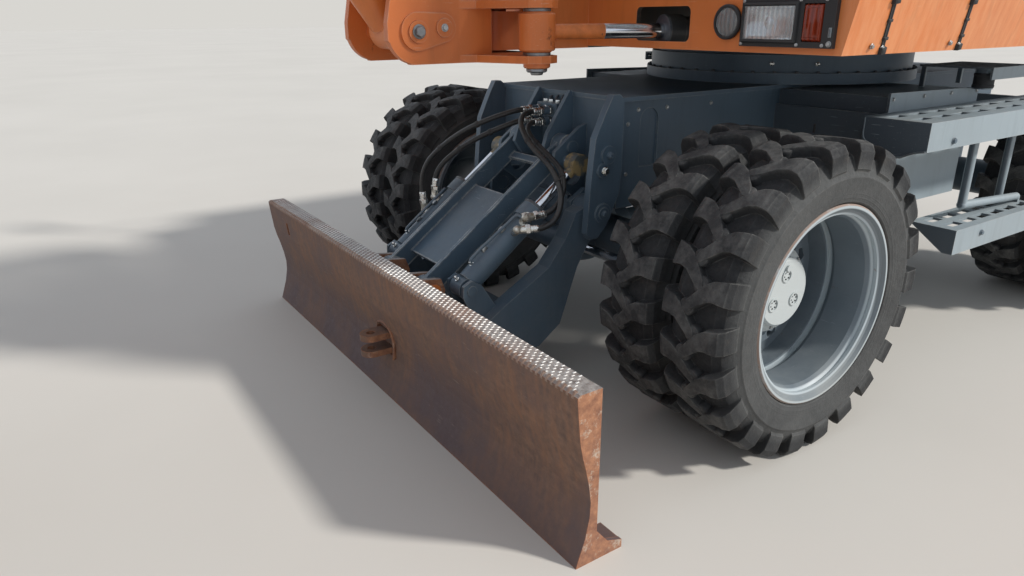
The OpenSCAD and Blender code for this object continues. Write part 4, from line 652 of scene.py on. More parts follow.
dress(["arm_rod"], chromed("arm rod chrome", spot(5645.8, 0, 3856.3), 0.075, ORANGE))
dress(["bucket_rod"], chromed("bucket rod chrome", spot(4967.6, 0, 1569.2), 0.06, ORANGE))
dress(["swing_rod"], chromed("swing rod chrome", spot(1750, 350, 1353), 0.245, ORANGE, 0.1, upright=True))
for corner in CORNERS:
    hub = middle("tyres_" + corner)
    dress(["tyres_" + corner], tyre_rubber("tyre rubber " + corner, hub))
    dress(["rim_" + corner], wheel_paint("wheel paint " + corner, hub))


# Making new pieces

def alone(*pieces):
    """Leaves only these selected, the first one active."""
    bpy.ops.object.select_all(action="DESELECT")
    for piece in pieces:
        piece.select_set(True)
    bpy.context.view_layer.objects.active = pieces[0]


def choose(piece, test):
    """In edit mode, selects the faces whose middle and direction pass the test."""
    bpy.ops.mesh.select_mode(type="FACE")
    bpy.ops.mesh.select_all(action="DESELECT")
    shape = bmesh.from_edit_mesh(piece.data)
    for face in shape.faces:
        if test(face.calc_center_median(), face.normal):
            face.select_set(True)
    bmesh.update_edit_mesh(piece.data)


def extend(height):
    """Extrudes what is selected by a height in mm."""
    bpy.ops.mesh.extrude_region_move(TRANSFORM_OT_translate={"value": (0, 0, height / 1000)})


def done(piece, name, material, soften=0.0, steps=2):
    """Back in object mode: normals out, place applied, edges softened, shading and finish given."""
    if piece.mode == "EDIT":
        bpy.ops.mesh.select_all(action="SELECT")
        bpy.ops.mesh.normals_make_consistent(inside=False)
        bpy.ops.object.mode_set(mode="OBJECT")
    alone(piece)
    bpy.ops.object.transform_apply()
    if soften:
        bpy.ops.object.modifier_add(type="BEVEL")
        rounding = piece.modifiers[-1]
        rounding.width, rounding.segments, rounding.limit_method = soften / 1000, steps, "ANGLE"
        bpy.ops.object.modifier_apply(modifier=rounding.name)
    bpy.ops.object.shade_smooth_by_angle(angle=math.radians(35))
    piece.name = name
    piece.data.materials.clear()
    piece.data.materials.append(material)
    return piece


def turned(name, profile, material, sides):
    """A turned or hexagonal part standing on Z, from its profile of (radius, height) in mm."""
    radius, height = profile[0]
    bpy.ops.mesh.primitive_circle_add(vertices=sides, radius=radius / 1000, fill_type="NGON",
                                      location=(0, 0, height / 1000))
    piece = bpy.context.object
    bpy.ops.object.mode_set(mode="EDIT")
    bpy.ops.mesh.select_all(action="SELECT")
    for wide, high in profile[1:]:
        extend(high - height)
        if wide != radius:
            bpy.ops.transform.resize(value=(wide / radius, wide / radius, 1), center_override=(0, 0, high / 1000))
        radius, height = wide, high
    return done(piece, name, material)


def block(name, size, material, soften=1.5, taper=1.0, rim=0.0, raised=0.0, steps=2):
    """A plate standing on Z, its top tapered and, inside a rim, raised or sunk."""
    bpy.ops.mesh.primitive_cube_add(size=1, location=(0, 0, size[2] / 2000))
    piece = bpy.context.object
    piece.scale = [part / 1000 for part in size]
    bpy.ops.object.transform_apply()
    bpy.ops.object.mode_set(mode="EDIT")
    choose(piece, lambda where, facing: facing.z > 0.9)
    if taper != 1:
        bpy.ops.transform.resize(value=(taper, taper, 1), center_override=(0, 0, size[2] / 1000))
    if rim:
        bpy.ops.mesh.inset(thickness=rim / 1000, depth=0)
        extend(raised)
    return done(piece, name, material, soften, steps)


def joined(name, *parts):
    """The parts as one piece."""
    alone(*parts)
    bpy.ops.object.join()
    parts[0].name = name
    return parts[0]


def stand(piece, where, toward=UP, across=None):
    """Moves a part made at the origin to its place: its own Z points toward, its X lies across."""
    upward = Vector(toward).normalized()
    if across:
        sideways = Vector(across)
    else:
        sideways = Vector(UP if abs(upward.z) < 0.9 else LEFT).cross(upward)
    sideways = (sideways - upward * sideways.dot(upward)).normalized()
    turn = Matrix((sideways, upward.cross(sideways), upward)).transposed().to_4x4()
    piece.matrix_world = Matrix.Translation(spot(*where)) @ turn
    alone(piece)
    bpy.ops.object.transform_apply()
    return piece


def shifted(piece, x=0.0, y=0.0, z=0.0):
    """Moves a part made at the origin by mm."""
    alone(piece)
    bpy.ops.transform.translate(value=(x / 1000, y / 1000, z / 1000))
    bpy.ops.object.transform_apply()
    return piece


def repeated(piece, count, step):
    """Makes a row of a piece, each a step in metres from the one before."""
    bpy.ops.object.modifier_add(type="ARRAY")
    row = piece.modifiers[-1]
    row.use_relative_offset, row.use_constant_offset = False, True
    row.count, row.constant_offset_displace = count, step
    bpy.ops.object.modifier_apply(modifier=row.name)


spares = []


def copy_of(model):
    """A copy of a part made at the origin; the part itself is removed at the end."""
    if model not in spares:
        spares.append(model)
    alone(model)
    bpy.ops.object.duplicate()
    return bpy.context.object


def set_out(name, model, places, body, across=None):
    """Copies of a part at each (x, y, z, toward), joined as one piece that rides on a body."""
    piece = joined(name, *[stand(copy_of(model), (x, y, z), toward, across) for x, y, z, toward in places])
    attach(piece, body)
    return piece


def rounded(points, reach):
    """A line with its inner corners rounded, reach mm to each side of them."""
    points = [Vector(p) for p in points]
    line = [points[0]]
    for a, b, c in zip(points, points[1:], points[2:]):
        back, on = (a - b), (c - b)
        start = b + back.normalized() * min(reach, back.length * 0.48)
        end = b + on.normalized() * min(reach, on.length * 0.48)
        line += [start * (1 - t) ** 2 + b * 2 * t * (1 - t) + end * t * t for t in (0, 0.2, 0.4, 0.6, 0.8, 1)]
    return line + [points[-1]]


def swept(name, route, radius, roundness):
    """A closed tube along a route, both in the frame's metres."""
    line = bpy.data.curves.new(name, "CURVE")
    line.dimensions = "3D"
    spline = line.splines.new("POLY")
    spline.points.add(len(route) - 1)
    for point, where in zip(spline.points, route):
        point.co = (*where, 1)
    line.bevel_depth, line.bevel_resolution, line.use_fill_caps = radius, roundness, True
    piece = bpy.data.objects.new(name, line)
    bpy.context.scene.collection.objects.link(piece)
    alone(piece)
    bpy.ops.object.convert(target="MESH")
    return bpy.context.object


def pipe(name, points, thick, material, body, reach=30, roundness=3):
    """A bent steel line, bar or beading along the points, on a body."""
    piece = swept(name, [spot(*p) for p in rounded(points, reach)], thick / 2000, roundness)
    done(piece, name, material)
    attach(piece, body)
    return piece


def both(places):
    """The same places on the left and on the right."""
    return [(x, s * y, z, (d[0], s * d[1], d[2])) for x, y, z, d in places for s in (1, -1)]


def hexagon_bolt(name, size, material):
    """A hexagon head on its washer; size is half its width over corners."""
    washer = turned(name + " washer", [(size * 1.3, 0), (size * 1.3, size * 0.16), (size * 1.2, size * 0.24),
                                       (size * 0.7, size * 0.24)], material, 20)
    head = turned(name, [(size, size * 0.2), (size, size * 0.78), (size * 0.86, size * 0.95),
                         (size * 0.4, size * 0.95)],
                  material, 6)
    return joined(name, head, washer)


# Hoses to the blade cylinders

def smooth_route(course, steps=4):
    """The same smooth line through a route's points as in the part's source."""
    points = [Vector(p) for p in course]
    line = []
    for i in range(len(points) - 1):
        a, b, c, d = points[max(i - 1, 0)], points[i], points[i + 1], points[min(i + 2, len(points) - 1)]
        for k in range(steps):
            t = k / steps
            line.append(0.5 * (2 * b + t * (c - a) + t * t * (2 * a - 5 * b + 4 * c - d)
                               + t ** 3 * (3 * b - a - 3 * c + d)))
    return line + [points[-1]]


def bend_with_arms(piece):
    """Bakes the hose's placement into its mesh."""
    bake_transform(piece)


def lay_hose(name, route):
    """A hose on its route, replacing its plain solid."""
    points = [spot(*p) for p in smooth_route(route)]
    piece = swept(name + "_cover", points, 0.011, 4)
    piece.data.materials.append(hose_black)
    bend_with_arms(piece)
    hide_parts(name)


for hose, route in HOSE_ROUTES.items():
    lay_hose(hose, route)


def fit_hose_ends():
    """A swivel nut and a crimped sleeve on both ends of each hose."""
    nut = turned("swivel nut", [(16, -6), (18.5, -4), (18.5, 10), (16.5, 12), (12, 12)], bright_steel, 6)
    sleeve = turned("crimped sleeve", [(12, 8), (15, 12), (15, 20), (14.2, 21), (14.2, 22), (15, 23), (15, 31),
                                       (14.2, 32), (14.2, 33), (15, 34), (15, 42), (13.4, 45), (11.5, 45)],
                    bright_steel, 20)
    ending = joined("hose end", nut, sleeve)
    for name, body, first, second in (("hose_ends", "chassis", 0, 1), ("hose_far_ends", "blade_barrels", -1, -2)):
        set_out(name, ending, [(*course[first], tuple(Vector(course[second]) - Vector(course[first])))
                               for course in HOSE_ROUTES.values()], body)
    collar = turned("hexagon collar", [(15, 0), (19, 1.5), (19, 13), (16.5, 15), (10, 15)], bright_steel, 6)
    set_out("stub_collars", collar, [(1442, y, z, AHEAD) for y in (26, -50) for z in (1035, 992)], "chassis")
    band = turned("hose band", [(12.2, -7), (13.4, -6), (13.4, 6), (12.2, 7), (11, 7)], black_trim, 20)
    for name, course in HOSE_ROUTES.items():
        line = smooth_route(course)
        rings = [stand(copy_of(band), tuple(line[k]), tuple(line[k + 1] - line[k - 1]))
                 for k in (int(len(line) * 0.34), int(len(line) * 0.62))]
        bend_with_arms(joined(name + "_bands", *rings))


def fit_valve_block():
    """Plugs, a relief valve and the steel lines that leave the block for the chassis."""
    plug = turned("block plug", [(13, 0), (13, 3), (10, 4), (10, 10), (8.5, 12), (4.5, 12), (4.5, 7), (2, 7)],
                  bright_steel, 6)
    set_out("block_plugs", plug, [(1412, -48, 1062, UP), (1412, -12, 1062, UP), (1412, 34, 1062, UP),
                                  (1440, -12, 1040, AHEAD), (1415, -70, 1000, RIGHT),
                                  (1415, 60, 1012, LEFT)], "chassis")
    valve = turned("relief valve", [(15, 0), (15, 8), (11, 10), (11, 30), (13, 32), (13, 42), (8, 45), (8, 54),
                                    (5, 56)], steel, 6)
    set_out("relief_valve", valve, [(1440, -12, 985, (1, 0, 0.1))], "chassis")
    for k, y in enumerate((-30, 12, 50)):
        pipe(f"block_line_{k}", [(1404, y, 1060), (1404, y, 1082 + 4 * k), (1380, y, 1084 + 4 * k)], 11, dark_slate,
             "chassis", 12)


def fit_blade_cylinders():
    """Steel line and its saddles on top of each barrel, gland nuts and grease nipples."""
    foot, eye = Vector((2010, 0, 460)), Vector((1490, 0, 855))
    along = (eye - foot).normalized()
    upward = Vector((0.605, 0, 0.796))
    clip = block("pipe clip", (24, 20, 14), steel, 2, 0.8, 4, 1.5)
    nuts = turned("gland ring", [(53, 0), (54, 2), (54, 9), (50, 12), (30, 12)], dark_slate, 32)
    places, rings, nipples = [], [], []
    for side, hand in SIDES:
        axis = foot + Vector((0, side * 260, 0))
        start = axis + along * 78 + upward * 40
        far = axis + along * 330 + upward * 54 + Vector((0, side * 12, 0))
        pipe("barrel_line_" + hand, [start, start + upward * 20, start + upward * 20 + along * 60, far,
                                     far + Vector((0, side * 30, 0)) - upward * 16], 12, slate, "blade_barrels", 18)
        for step in (150, 250):
            places.append((*(axis + along * step + upward * 43), tuple(upward)))
        rings.append((*(axis + along * 399), tuple(along)))
        nipples.append((*(axis + upward * 40), tuple(upward)))
        nipples.append((*(start - upward * 2), tuple(upward)))
    set_out("line_clips", clip, places, "blade_barrels", tuple(along))
    set_out("gland_rings", nuts, rings, "blade_barrels")
    nipple = turned("grease nipple", [(9, 0), (9, 6), (5, 7), (5, 13), (6.4, 15), (6.4, 18), (3, 21)], bright_steel, 12)
    set_out("barrel_nipples", nipple, nipples, "blade_barrels")
    return nipple


def fit_chassis(nipple):
    """Bolts of the pin covers, small screws, latches of the side boxes and bolts of the slewing ring."""
    bright = hexagon_bolt("bright bolt", 13, bright_steel)
    dull = hexagon_bolt("painted bolt", 10, slate)
    small = hexagon_bolt("small bolt", 6.5, steel)
    set_out("pin_cover_bolts", bright, both([(1490, 426, 855, LEFT)]), "chassis")
    set_out("pin_cover_bolts_painted", dull, both([(1465, 426, 910, LEFT), (1483, 422, 691, LEFT)]), "chassis")
    set_out("chassis_screws", small, both([(x, 385, z, LEFT) for x, z in (
        (1350, 1010), (1350, 820), (1300, 1060), (1150, 1060), (1150, 800), (900, 1060), (900, 780))]), "chassis")
    plate = block("latch plate", (26, 96, 5), black_trim, 1.5, 0.94, 4, -1.5)
    knob = turned("latch knob", [(9, 4), (9, 9), (13, 11), (13, 17), (10, 20), (4, 20)], black_trim, 20)
    lever = shifted(block("latch lever", (11, 44, 9), black_paint, 2, 0.8, 2, 1), y=-20, z=16)
    latch = joined("box latch", plate, knob, lever)
    set_out("box_latches", latch, both([(460, 590, 965, AHEAD), (460, 805, 968, AHEAD)]), "chassis", LEFT)
    ring_bolt = hexagon_bolt("ring bolt", 8, dark_slate)
    places, count, radius = [], 44, 629
    for k in range(count):
        a = 2 * math.pi * (k + 0.5) / count
        places.append((radius * math.cos(a), radius * math.sin(a), 1158, UP))
    set_out("slew_ring_bolts", ring_bolt, places, "chassis")
    set_out("slew_ring_nipples", nipple, [(618 * math.cos(a), 618 * math.sin(a), 1196, (math.cos(a), math.sin(a), 0))
                                          for a in (0.62, 0.92, 2.4, 4.0, 5.4)], "chassis")
    return bright, dull, small


def fit_steps(dull, small):
    """Bolts and brackets of the steps, weld beads on the step ends and the black filter by the ring."""
    set_out("side_box_screws", small,
            both([(x, 900, z, LEFT) for x in (-170, 40, 250, 470) for z in (945, 1088)]), "chassis")
    set_out("step_bolts", dull, both([(x, 1150, 965, LEFT) for x in (-674, -164, 476)]
                                     + [(x, 1150, 560, LEFT) for x in (-400, 95)]), "chassis")
    bracket = block("step bracket", (62, 74, 8), step_grey, 2, 0.96, 6, 1.5)
    profile = [(9, 8), (11, 9), (11, 10.2), (7, 10.4), (7, 9.6), (3, 9.6)]
    holes = [shifted(turned("bracket hole", profile, black_trim, 16), y=rise) for rise in (18, -18)]
    set_out("step_brackets", joined("bracket", bracket, *holes),
            both([(520, 900, 985, LEFT), (-720, 900, 985, LEFT)]), "chassis", AHEAD)
    can = turned("filter can", [(30, 0), (40, 3), (41, 8), (41, 14), (39, 16), (39, 50), (41, 52), (41, 60), (36, 64),
                                (36, 68), (22, 74), (16, 74)], black_trim, 32)
    set_out("filters", can, both([(-130, 940, 1100, UP)]), "chassis")
    for side, hand in SIDES:
        pipe("step_weld_" + hand, [(652, side * y, z) for y, z in (
            (906, 1036), (906, 962), (950, 932), (1000, 903), (1060, 908), (1108, 932), (1146, 940))],
            7, step_grey, "chassis", 20, 2)


def tread_the_blade():
    """Raised lozenges on the blade's top plate, short ribs over its rolled edge, welds and the edge of the towing
    recess.
    """
    trodden = bare_metal("trodden studs", (214, 212, 208), 0.42, 0.2, 0.35, (150, 120, 98))
    stud = stand(block("tread stud", (11, 5.5, 2.4), trodden, 0, 0.62), (2194, -1222, 527))
    for count, step in ((101, (0, 0.0238, 0)), (5, (0.0142, 0.0119, 0))):
        repeated(stud, count, step)
    stud.name = "blade_tread"
    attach(stud, "blade")
    worn_edge = bare_metal("worn edge", (168, 148, 134), 0.5, 0.3, 0.6, (140, 92, 66))
    rib = block("edge rib", (22, 11, 5.5), worn_edge, 0, 0.6)
    stand(rib, (2261, -1222, 521.5), (0.8, 0, 0.6), (0.6, 0, -0.8))
    repeated(rib, 113, (0, 0.0218, 0))
    rib.name = "blade_edge_ribs"
    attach(rib, "blade")
    for side, hand in SIDES:
        pipe("end_plate_weld_" + hand, [(x, side * 1224, z) for x, z in (
            (2190, 510), (2240, 512), (2243, 470), (2224, 350), (2198, 215), (2206, 110), (2236, 20))],
            9, rusty_plate, "blade", 20, 2)
    pipe("towing_recess_edge", [(2222, 66, 146), (2219, 70, 180), (2220, 72, 225), (2224, 62, 262), (2228, 34, 282),
                                (2228, -6, 284), (2226, -46, 268)], 12, rusty_plate, "blade", 24, 2)


def fit_lamps(small):
    """Lenses, reflectors, bezels and screws of the headlamps, the indicators and the round lamp."""
    silver = bare_metal("lamp reflector", (222, 224, 226), 0.12, 0.1, 0.05)
    clear = lamp_glass("headlamp glass", (214, 222, 226), clear=0.8)
    amber = lamp_glass("indicator glass", (128, 44, 22), clear=0.25)
    mirror = block("headlamp reflector", (174, 92, 0.7), silver, 0, 0.985, 9, 0.3)
    bulb = turned("headlamp bulb", [(15, 0.2), (17, 1), (14, 2.4), (8, 3.0), (3, 3.2)], silver, 20)
    bezel = block("headlamp bezel", (202, 116, 15), black_trim, 5, 0.97, 9, -11.5, 3)
    set_out("headlamp_bezels", bezel, both([(1331.1, 960.5, 1370.5, AHEAD)]), "upper", LEFT)
    lens = block("headlamp lens", (180, 95, 4), clear, 1.6, 0.97, 8, 2, 3)
    set_out("headlamp_reflectors", joined("reflector", mirror, bulb), both([(1334.8, 960.5, 1370.5, AHEAD)]),
            "upper", LEFT)
    set_out("headlamp_lenses", lens, both([(1340.5, 960.5, 1370.5, AHEAD)]), "upper", LEFT)
    turn = block("indicator lens", (62, 102, 9), amber, 3, 0.9, 6, 2.5, 3)
    set_out("indicator_lenses", turn, both([(1331.2, 1107.5, 1370.5, AHEAD)]), "upper", LEFT)
    dish = turned("round lamp dish", [(42, 0), (42, 1.4), (34, 1.4), (30, 0.6), (24, 0.6), (20, 1.6), (8, 1.6)],
                  silver, 40)
    dome = turned("round lamp glass", [(42.5, 1.8), (42.5, 4), (38, 6.5), (36, 6), (30, 8.5), (28, 8), (18, 10.2),
                                       (6, 11)], clear, 40)
    rim = turned("round lamp rim", [(51, -6), (53, -4), (53, 4), (50, 7.5), (44.5, 7.5), (44.5, 2)], black_trim, 48)
    set_out("round_lamp", joined("lamp insert", dish, dome, rim), [(1328, 795, 1372, AHEAD)], "upper")
    screw = turned("lens screw", [(5.5, 0), (5.5, 1.5), (4.4, 3), (1.5, 3.2)], steel, 14)
    set_out("lamp_screws", screw, both([(1336, y, z, AHEAD) for y in (862, 1062, 1145) for z in (1310, 1432)]), "upper")
    set_out("lamp_housing_bolts", small, both([(1336, 1166, 1314, AHEAD), (1336, 1166, 1438, AHEAD)]), "upper")
    tab = block("white tab", (9, 26, 3), step_grey, 0.8, 0.9, 2, 0.6)
    set_out("lamp_tabs", tab, both([(1336, 1166, 1345, AHEAD)]), "upper", LEFT)


def strap_the_skirt(small):
    """Black rubber straps that hold the skirt panels, with their buckles and bolts."""
    slope, rise = 0.205, 0.979
    band = block("strap band", (17, 168, 5), black_trim, 1.6, 0.94, 5, -1.2)
    parts = [band]
    for size, height in (((27, 22, 12), -74), ((23, 10, 9), -40), ((23, 9, 8), 10), ((30, 20, 13), 66)):
        parts.append(shifted(block("strap lump", size, black_trim, 2.5, 0.82, 3, 1), y=height))
    strap = joined("rubber strap", *parts)
    for side, hand in SIDES:
        tilt, facing = Vector((0.13, side * slope, rise)), Vector((0, side * rise, -slope))
        piece = joined("skirt_straps_" + hand, *[
            stand(copy_of(strap), (x, side * 1216, 1366), facing, facing.cross(tilt) * -1)
            for x in (1140, 702, -260, -700)])
        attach(piece, "upper")
    set_out("skirt_screws", small, both([
        (x + ahead, y, z, (0, rise, -slope)) for x in (1131, 693, -268, -708)
        for ahead, y, z in ((3, 1206, 1300), (60, 1208, 1306))]), "upper")


def finish_wheels():
    """Rounded inner ends of the lugs, hub screws, wheel valve and marks of the end cover."""
    pin = turned("cover mark", [(2.8, 0), (2.8, 1.6), (2, 2.2), (0.8, 2.2)], black_trim, 8)
    screw = hexagon_bolt("hub screw", 6.2, steel)
    axle_x, axle_z, lugs, lug_radius, lug_shift = 1250, 523, 22, 521.5, 68
    for corner in CORNERS:
        side = 1 if "left" in corner else -1
        x0, rubber = (axle_x if "front" in corner else -axle_x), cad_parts["tyres_" + corner].data.materials[0]
        knob = turned("lug end", [(27, -32), (28, -10), (26, -5), (20, -1.6), (9, -0.4)], rubber, 14)
        places = []
        for inner in (1000, 720):
            for k in range(lugs):
                for row, across in ((0, 106), (0.5, 139)):
                    a = math.radians((k + row) * 360 / lugs)
                    x = lug_radius * math.cos(a) - lug_shift * math.sin(a)
                    z = -(lug_radius * math.sin(a) + lug_shift * math.cos(a))
                    reach = math.hypot(x, z)
                    x, z = x * lug_radius / reach, z * lug_radius / reach
                    places.append((x0 + x, side * (inner + across), axle_z + z, (x, 0, z)))
        set_out("lug_ends_" + corner, knob, places, "wheel_" + corner)
        rows = []
        for k in range(3):
            a = math.radians(30 + k * 120)
            for j in range(6):
                b = math.radians(j * 60 + 15)
                rows.append((x0 + 62 * math.cos(a) + 13 * math.cos(b), side * 1074,
                             axle_z - 62 * math.sin(a) - 13 * math.sin(b), (0, side, 0)))
        set_out("cover_marks_" + corner, pin, rows, "wheel_" + corner)
        ring = []
        for k in range(12):
            a = math.radians(k * 30 + 9)
            ring.append((x0 + 127 * math.cos(a), side * 1051, axle_z + 127 * math.sin(a), (0, side, 0)))
        set_out("hub_screws_" + corner, screw, ring, "wheel_" + corner)
        a = math.radians(35)
        stem = [(x0 + r * math.cos(a), side * y, axle_z + r * math.sin(a))
                for r, y in ((284, 1092), (262, 1100), (256, 1150), (258, 1172))]
        pipe("valve_stem_" + corner, stem, 9, black_trim, "wheel_" + corner, 14, 3)


def fit_swing_post(bright, nipple):
    """Bolts of the pin covers, the plug of the cylinder's eye and the worn head of its pin."""
    big = hexagon_bolt("post bolt", 18, cast_steel)
    set_out("post_bolts", big, both([(2110, 192, 1347, LEFT), (1880, 192, 1790, LEFT)]), "post")
    lock = hexagon_bolt("post lock bolt", 10, steel)
    set_out("post_lock_bolts", lock, both([(2014, 193, 1358, LEFT), (1950, 178, 1700, LEFT)]), "post")
    washer = turned("thrust washer", [(44, 0), (47, 1), (47, 9), (44, 10.5), (22, 10.5)], cast_steel, 32)
    set_out("swing_eye_washers", washer, [(1750, 350, 1268, UP), (1750, 350, 1407, UP)], "post")
    head = turned("swing pin head", [(34, 0), (36, 3), (36, 12), (31, 16), (22, 16), (22, 20), (19, 25), (8, 25)],
                  cast_steel, 28)
    set_out("swing_pin_head", head, [(1750, 350, 1229, DOWN), (1750, 350, 1458, UP)], "post")
    plug = turned("eye plug", [(12, -2), (12, 2.5), (9, 4), (9, 1), (4, 1)], black_trim, 20)
    set_out("swing_eye_plug", plug, [(1750 + 49.5 * 0.588, 350 + 49.5 * 0.809, 1353, (0.588, 0.809, 0))], "swing_rod")
    collar = turned("rod scraper ring", [(53, 0), (54, 2), (54, 10), (49, 13), (30, 13)], dark_slate, 32)
    toward = Vector((1060, -290, 0)).normalized()
    place_at = Vector((690, 640, 1343)) + toward * 614
    set_out("swing_gland", collar, [(*place_at, tuple(toward))], "swing_barrel")
    set_out("post_nipples", nipple, both([(1840, 178, 1600, LEFT)]), "post")


fit_hose_ends()
fit_valve_block()
nipple = fit_blade_cylinders()
bright_bolt, painted_bolt, small_bolt = fit_chassis(nipple)
fit_steps(painted_bolt, small_bolt)
tread_the_blade()
fit_lamps(small_bolt)
strap_the_skirt(small_bolt)
finish_wheels()
fit_swing_post(bright_bolt, nipple)


def seal_the_windows():
    """Rubber beading round every opening of the cab and the door."""
    front = [(1246, 270, 1560), (1264, 270, 2050), (1161, 270, 2890), (1161, 1135, 2890), (1264, 1135, 2050),
             (1246, 1135, 1560), (1246, 270, 1560)]
    rear = [(249, 280, 2150), (249, 1125, 2150), (249, 1125, 2880), (249, 280, 2880), (249, 280, 2150)]
    right = [(x, 209, z) for x, z in ((330, 1950), (1190, 1950), (1195, 2050), (1100, 2880), (330, 2880), (330, 1950))]
    back_left = [(x, 1196, z) for x, z in ((330, 2050), (510, 2050), (510, 2880), (330, 2880), (330, 2050))]
    roof = [(450, 330, 3081), (950, 330, 3081), (950, 1075, 3081), (450, 1075, 3081), (450, 330, 3081)]
    leaf = [(x, 1196, z) for x, z in ((630, 2100), (1140, 2100), (1060, 2810), (630, 2810), (630, 2100))]
    for name, line in (("front", front), ("rear", rear), ("right", right), ("rear_left", back_left), ("roof", roof)):
        pipe("window_seal_" + name, line, 18, black_trim, "upper", 34)
    pipe("window_seal_door", leaf, 18, black_trim, "door", 34)


def fit_cab_outside(small):
    """Wiper, door handle, mirror glasses, roof lamps and screws of the cab."""
    cap = turned("wiper cap", [(24, 0), (26, 3), (26, 14), (20, 22), (9, 25), (4, 25)], black_trim, 28)
    set_out("wiper_pivot", cap, [(1245, 905, 1525, AHEAD)], "upper")
    pipe("wiper_arm", [(1262, 905, 1525), (1286, 905, 1600), (1290, 880, 2050), (1252, 850, 2330)], 11, black_paint,
         "upper", 60)
    pipe("wiper_blade", [(1277, 850, 1750), (1283, 850, 2050), (1262, 850, 2210), (1213, 850, 2610)], 15, black_trim,
         "upper", 40)
    pull = block("door pull", (130, 38, 16), black_trim, 3, 0.92, 8, -8, 3)
    grip = shifted(block("door grip", (96, 20, 12), black_paint, 3, 0.9, 4, 1, 2), z=14)
    barrel = shifted(turned("door lock", [(11, 14), (12, 15), (12, 18), (9, 19), (3, 18)], steel, 20), x=50)
    set_out("door_handle", joined("handle", pull, grip, barrel), [(1105, 1195, 1830, LEFT)], "door", AHEAD)
    silver = bare_metal("mirror glass", (206, 212, 216), 0.04, 0.05, 0.05)
    shell = block("mirror shell", (152, 306, 34), black_trim, 12, 0.86, 0, 0, 4)
    glass = block("mirror face", (136, 290, 5), silver, 2, 0.97, 5, -1)
    set_out("mirror_shells", shell, [(1418, 1157, 2590, AHEAD), (1118, -1150, 2365, AHEAD)], "upper", LEFT)
    set_out("mirror_faces", glass, [(1391, 1157, 2590, BACK), (1091, -1150, 2365, BACK)], "upper", LEFT)
    clear = lamp_glass("work lamp glass", (214, 220, 222), clear=0.7)
    frame_ring = block("work lamp rim", (118, 78, 16), black_trim, 4, 0.96, 9, -9, 3)
    pane = block("work lamp pane", (98, 58, 5), clear, 1.5, 0.96, 6, 1.2)
    set_out("work_lamp_rims", frame_ring, [(1058, 380, 3121, AHEAD), (1058, 1025, 3121, AHEAD)], "upper", LEFT)
    set_out("work_lamp_panes", pane, [(1066, 380, 3121, AHEAD), (1066, 1025, 3121, AHEAD)], "upper", LEFT)
    set_out("cab_screws", small, [(x, 1195, 1490, LEFT) for x in (290, 420, 530)]
            + [(1252, y, z, AHEAD) for y in (235, 1170) for z in (1500, 1760, 2020)]
            + [(x, 210, z, RIGHT) for x in (300, 700, 1150) for z in (1500, 1900)], "upper")


def fit_body_panels(small, bright):
    """Paddle latches, hinges, filler cap, tail lamps and screws of the body."""
    tray = block("paddle tray", (118, 84, 7), black_trim, 3, 0.95, 8, -5, 2)
    paddle = block("paddle", (92, 46, 9), black_paint, 3, 0.88, 4, -1.5, 2)
    set_out("panel_latches", joined("paddle latch", tray, paddle),
            both([(-640, 1223, 1780, LEFT), (-60, 1223, 1640, LEFT)])
            + [(540, -1223, 1640, RIGHT), (900, -1223, 1620, RIGHT)], "upper", AHEAD)
    leaf = block("panel hinge", (34, 84, 7), orange, 2, 0.92, 4, 1)
    knuckle = turned("hinge knuckle", [(9, -38), (10, -36), (10, 36), (9, 38), (5, 38)], orange, 16)
    alone(knuckle)
    knuckle.rotation_euler = (math.radians(90), 0, 0)
    knuckle.location = (0.018, 0, 0.006)
    bpy.ops.object.transform_apply()
    set_out("panel_hinges", joined("hinge", leaf, knuckle),
            both([(x, 1229, z, LEFT) for x in (-1125, -535, 205) for z in (1560, 1960)]), "upper", BACK)
    cap = turned("filler cap", [(46, 0), (52, 3), (52, 12), (48, 14), (48, 26), (44, 30), (20, 30), (18, 36), (6, 36)],
                 black_trim, 32)
    set_out("filler_cap", cap, [(330, -800, 2049, UP)], "upper")
    red = lamp_glass("tail lamp glass", (140, 22, 20), clear=0.2)
    amber = lamp_glass("rear indicator glass", (170, 84, 24), clear=0.2)
    case = block("tail lamp box", (232, 92, 38), black_trim, 4, 0.95, 7, -5, 2)
    lens = shifted(block("tail lens", (118, 74, 12), red, 3, 0.95, 5, 1.5, 2), x=-50, z=30)
    side_lens = shifted(block("tail side lens", (86, 74, 12), amber, 3, 0.95, 5, 1.5, 2), x=60, z=30)
    cluster = joined("tail lamp", case, lens, side_lens)
    for side, hand in SIDES:
        a = math.radians(159)
        out = Vector((math.cos(a), side * math.sin(a), 0))
        piece = stand(copy_of(cluster), (1746 * out.x, 1746 * out.y, 1500), out, Vector((-out.y, out.x, 0)) * side)
        piece.name = "tail_lamp_" + hand
        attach(piece, "upper")
    dot = turned("reflector disc", [(38, 0), (40, 2), (40, 6), (34, 9), (12, 9)], red, 32)
    a = math.radians(148)
    set_out("reflector_discs", dot,
            both([(1748 * math.cos(a), 1748 * math.sin(a), 1640, (math.cos(a), math.sin(a), 0))]), "upper")
    set_out("panel_screws", small,
            both([(x, 1235, z, LEFT) for x in (-1120, -590, -10, 200) for z in (1505, 2030)]), "upper")
    set_out("hood_bolts", small, [(x, y, 2180, UP) for x in (-980, -460, 70) for y in (-680, 980)], "hood")
    pull = block("hood pull", (150, 30, 10), black_trim, 3, 0.9, 6, -3, 2)
    set_out("hood_pulls", pull, [(-200, 1016, 2158, LEFT), (-700, 1016, 2158, LEFT)], "hood", AHEAD)
    set_out("weight_bolts", bright, [(-1745, y, z, BACK) for y in (-200, 200) for z in (1540, 1700)], "upper")


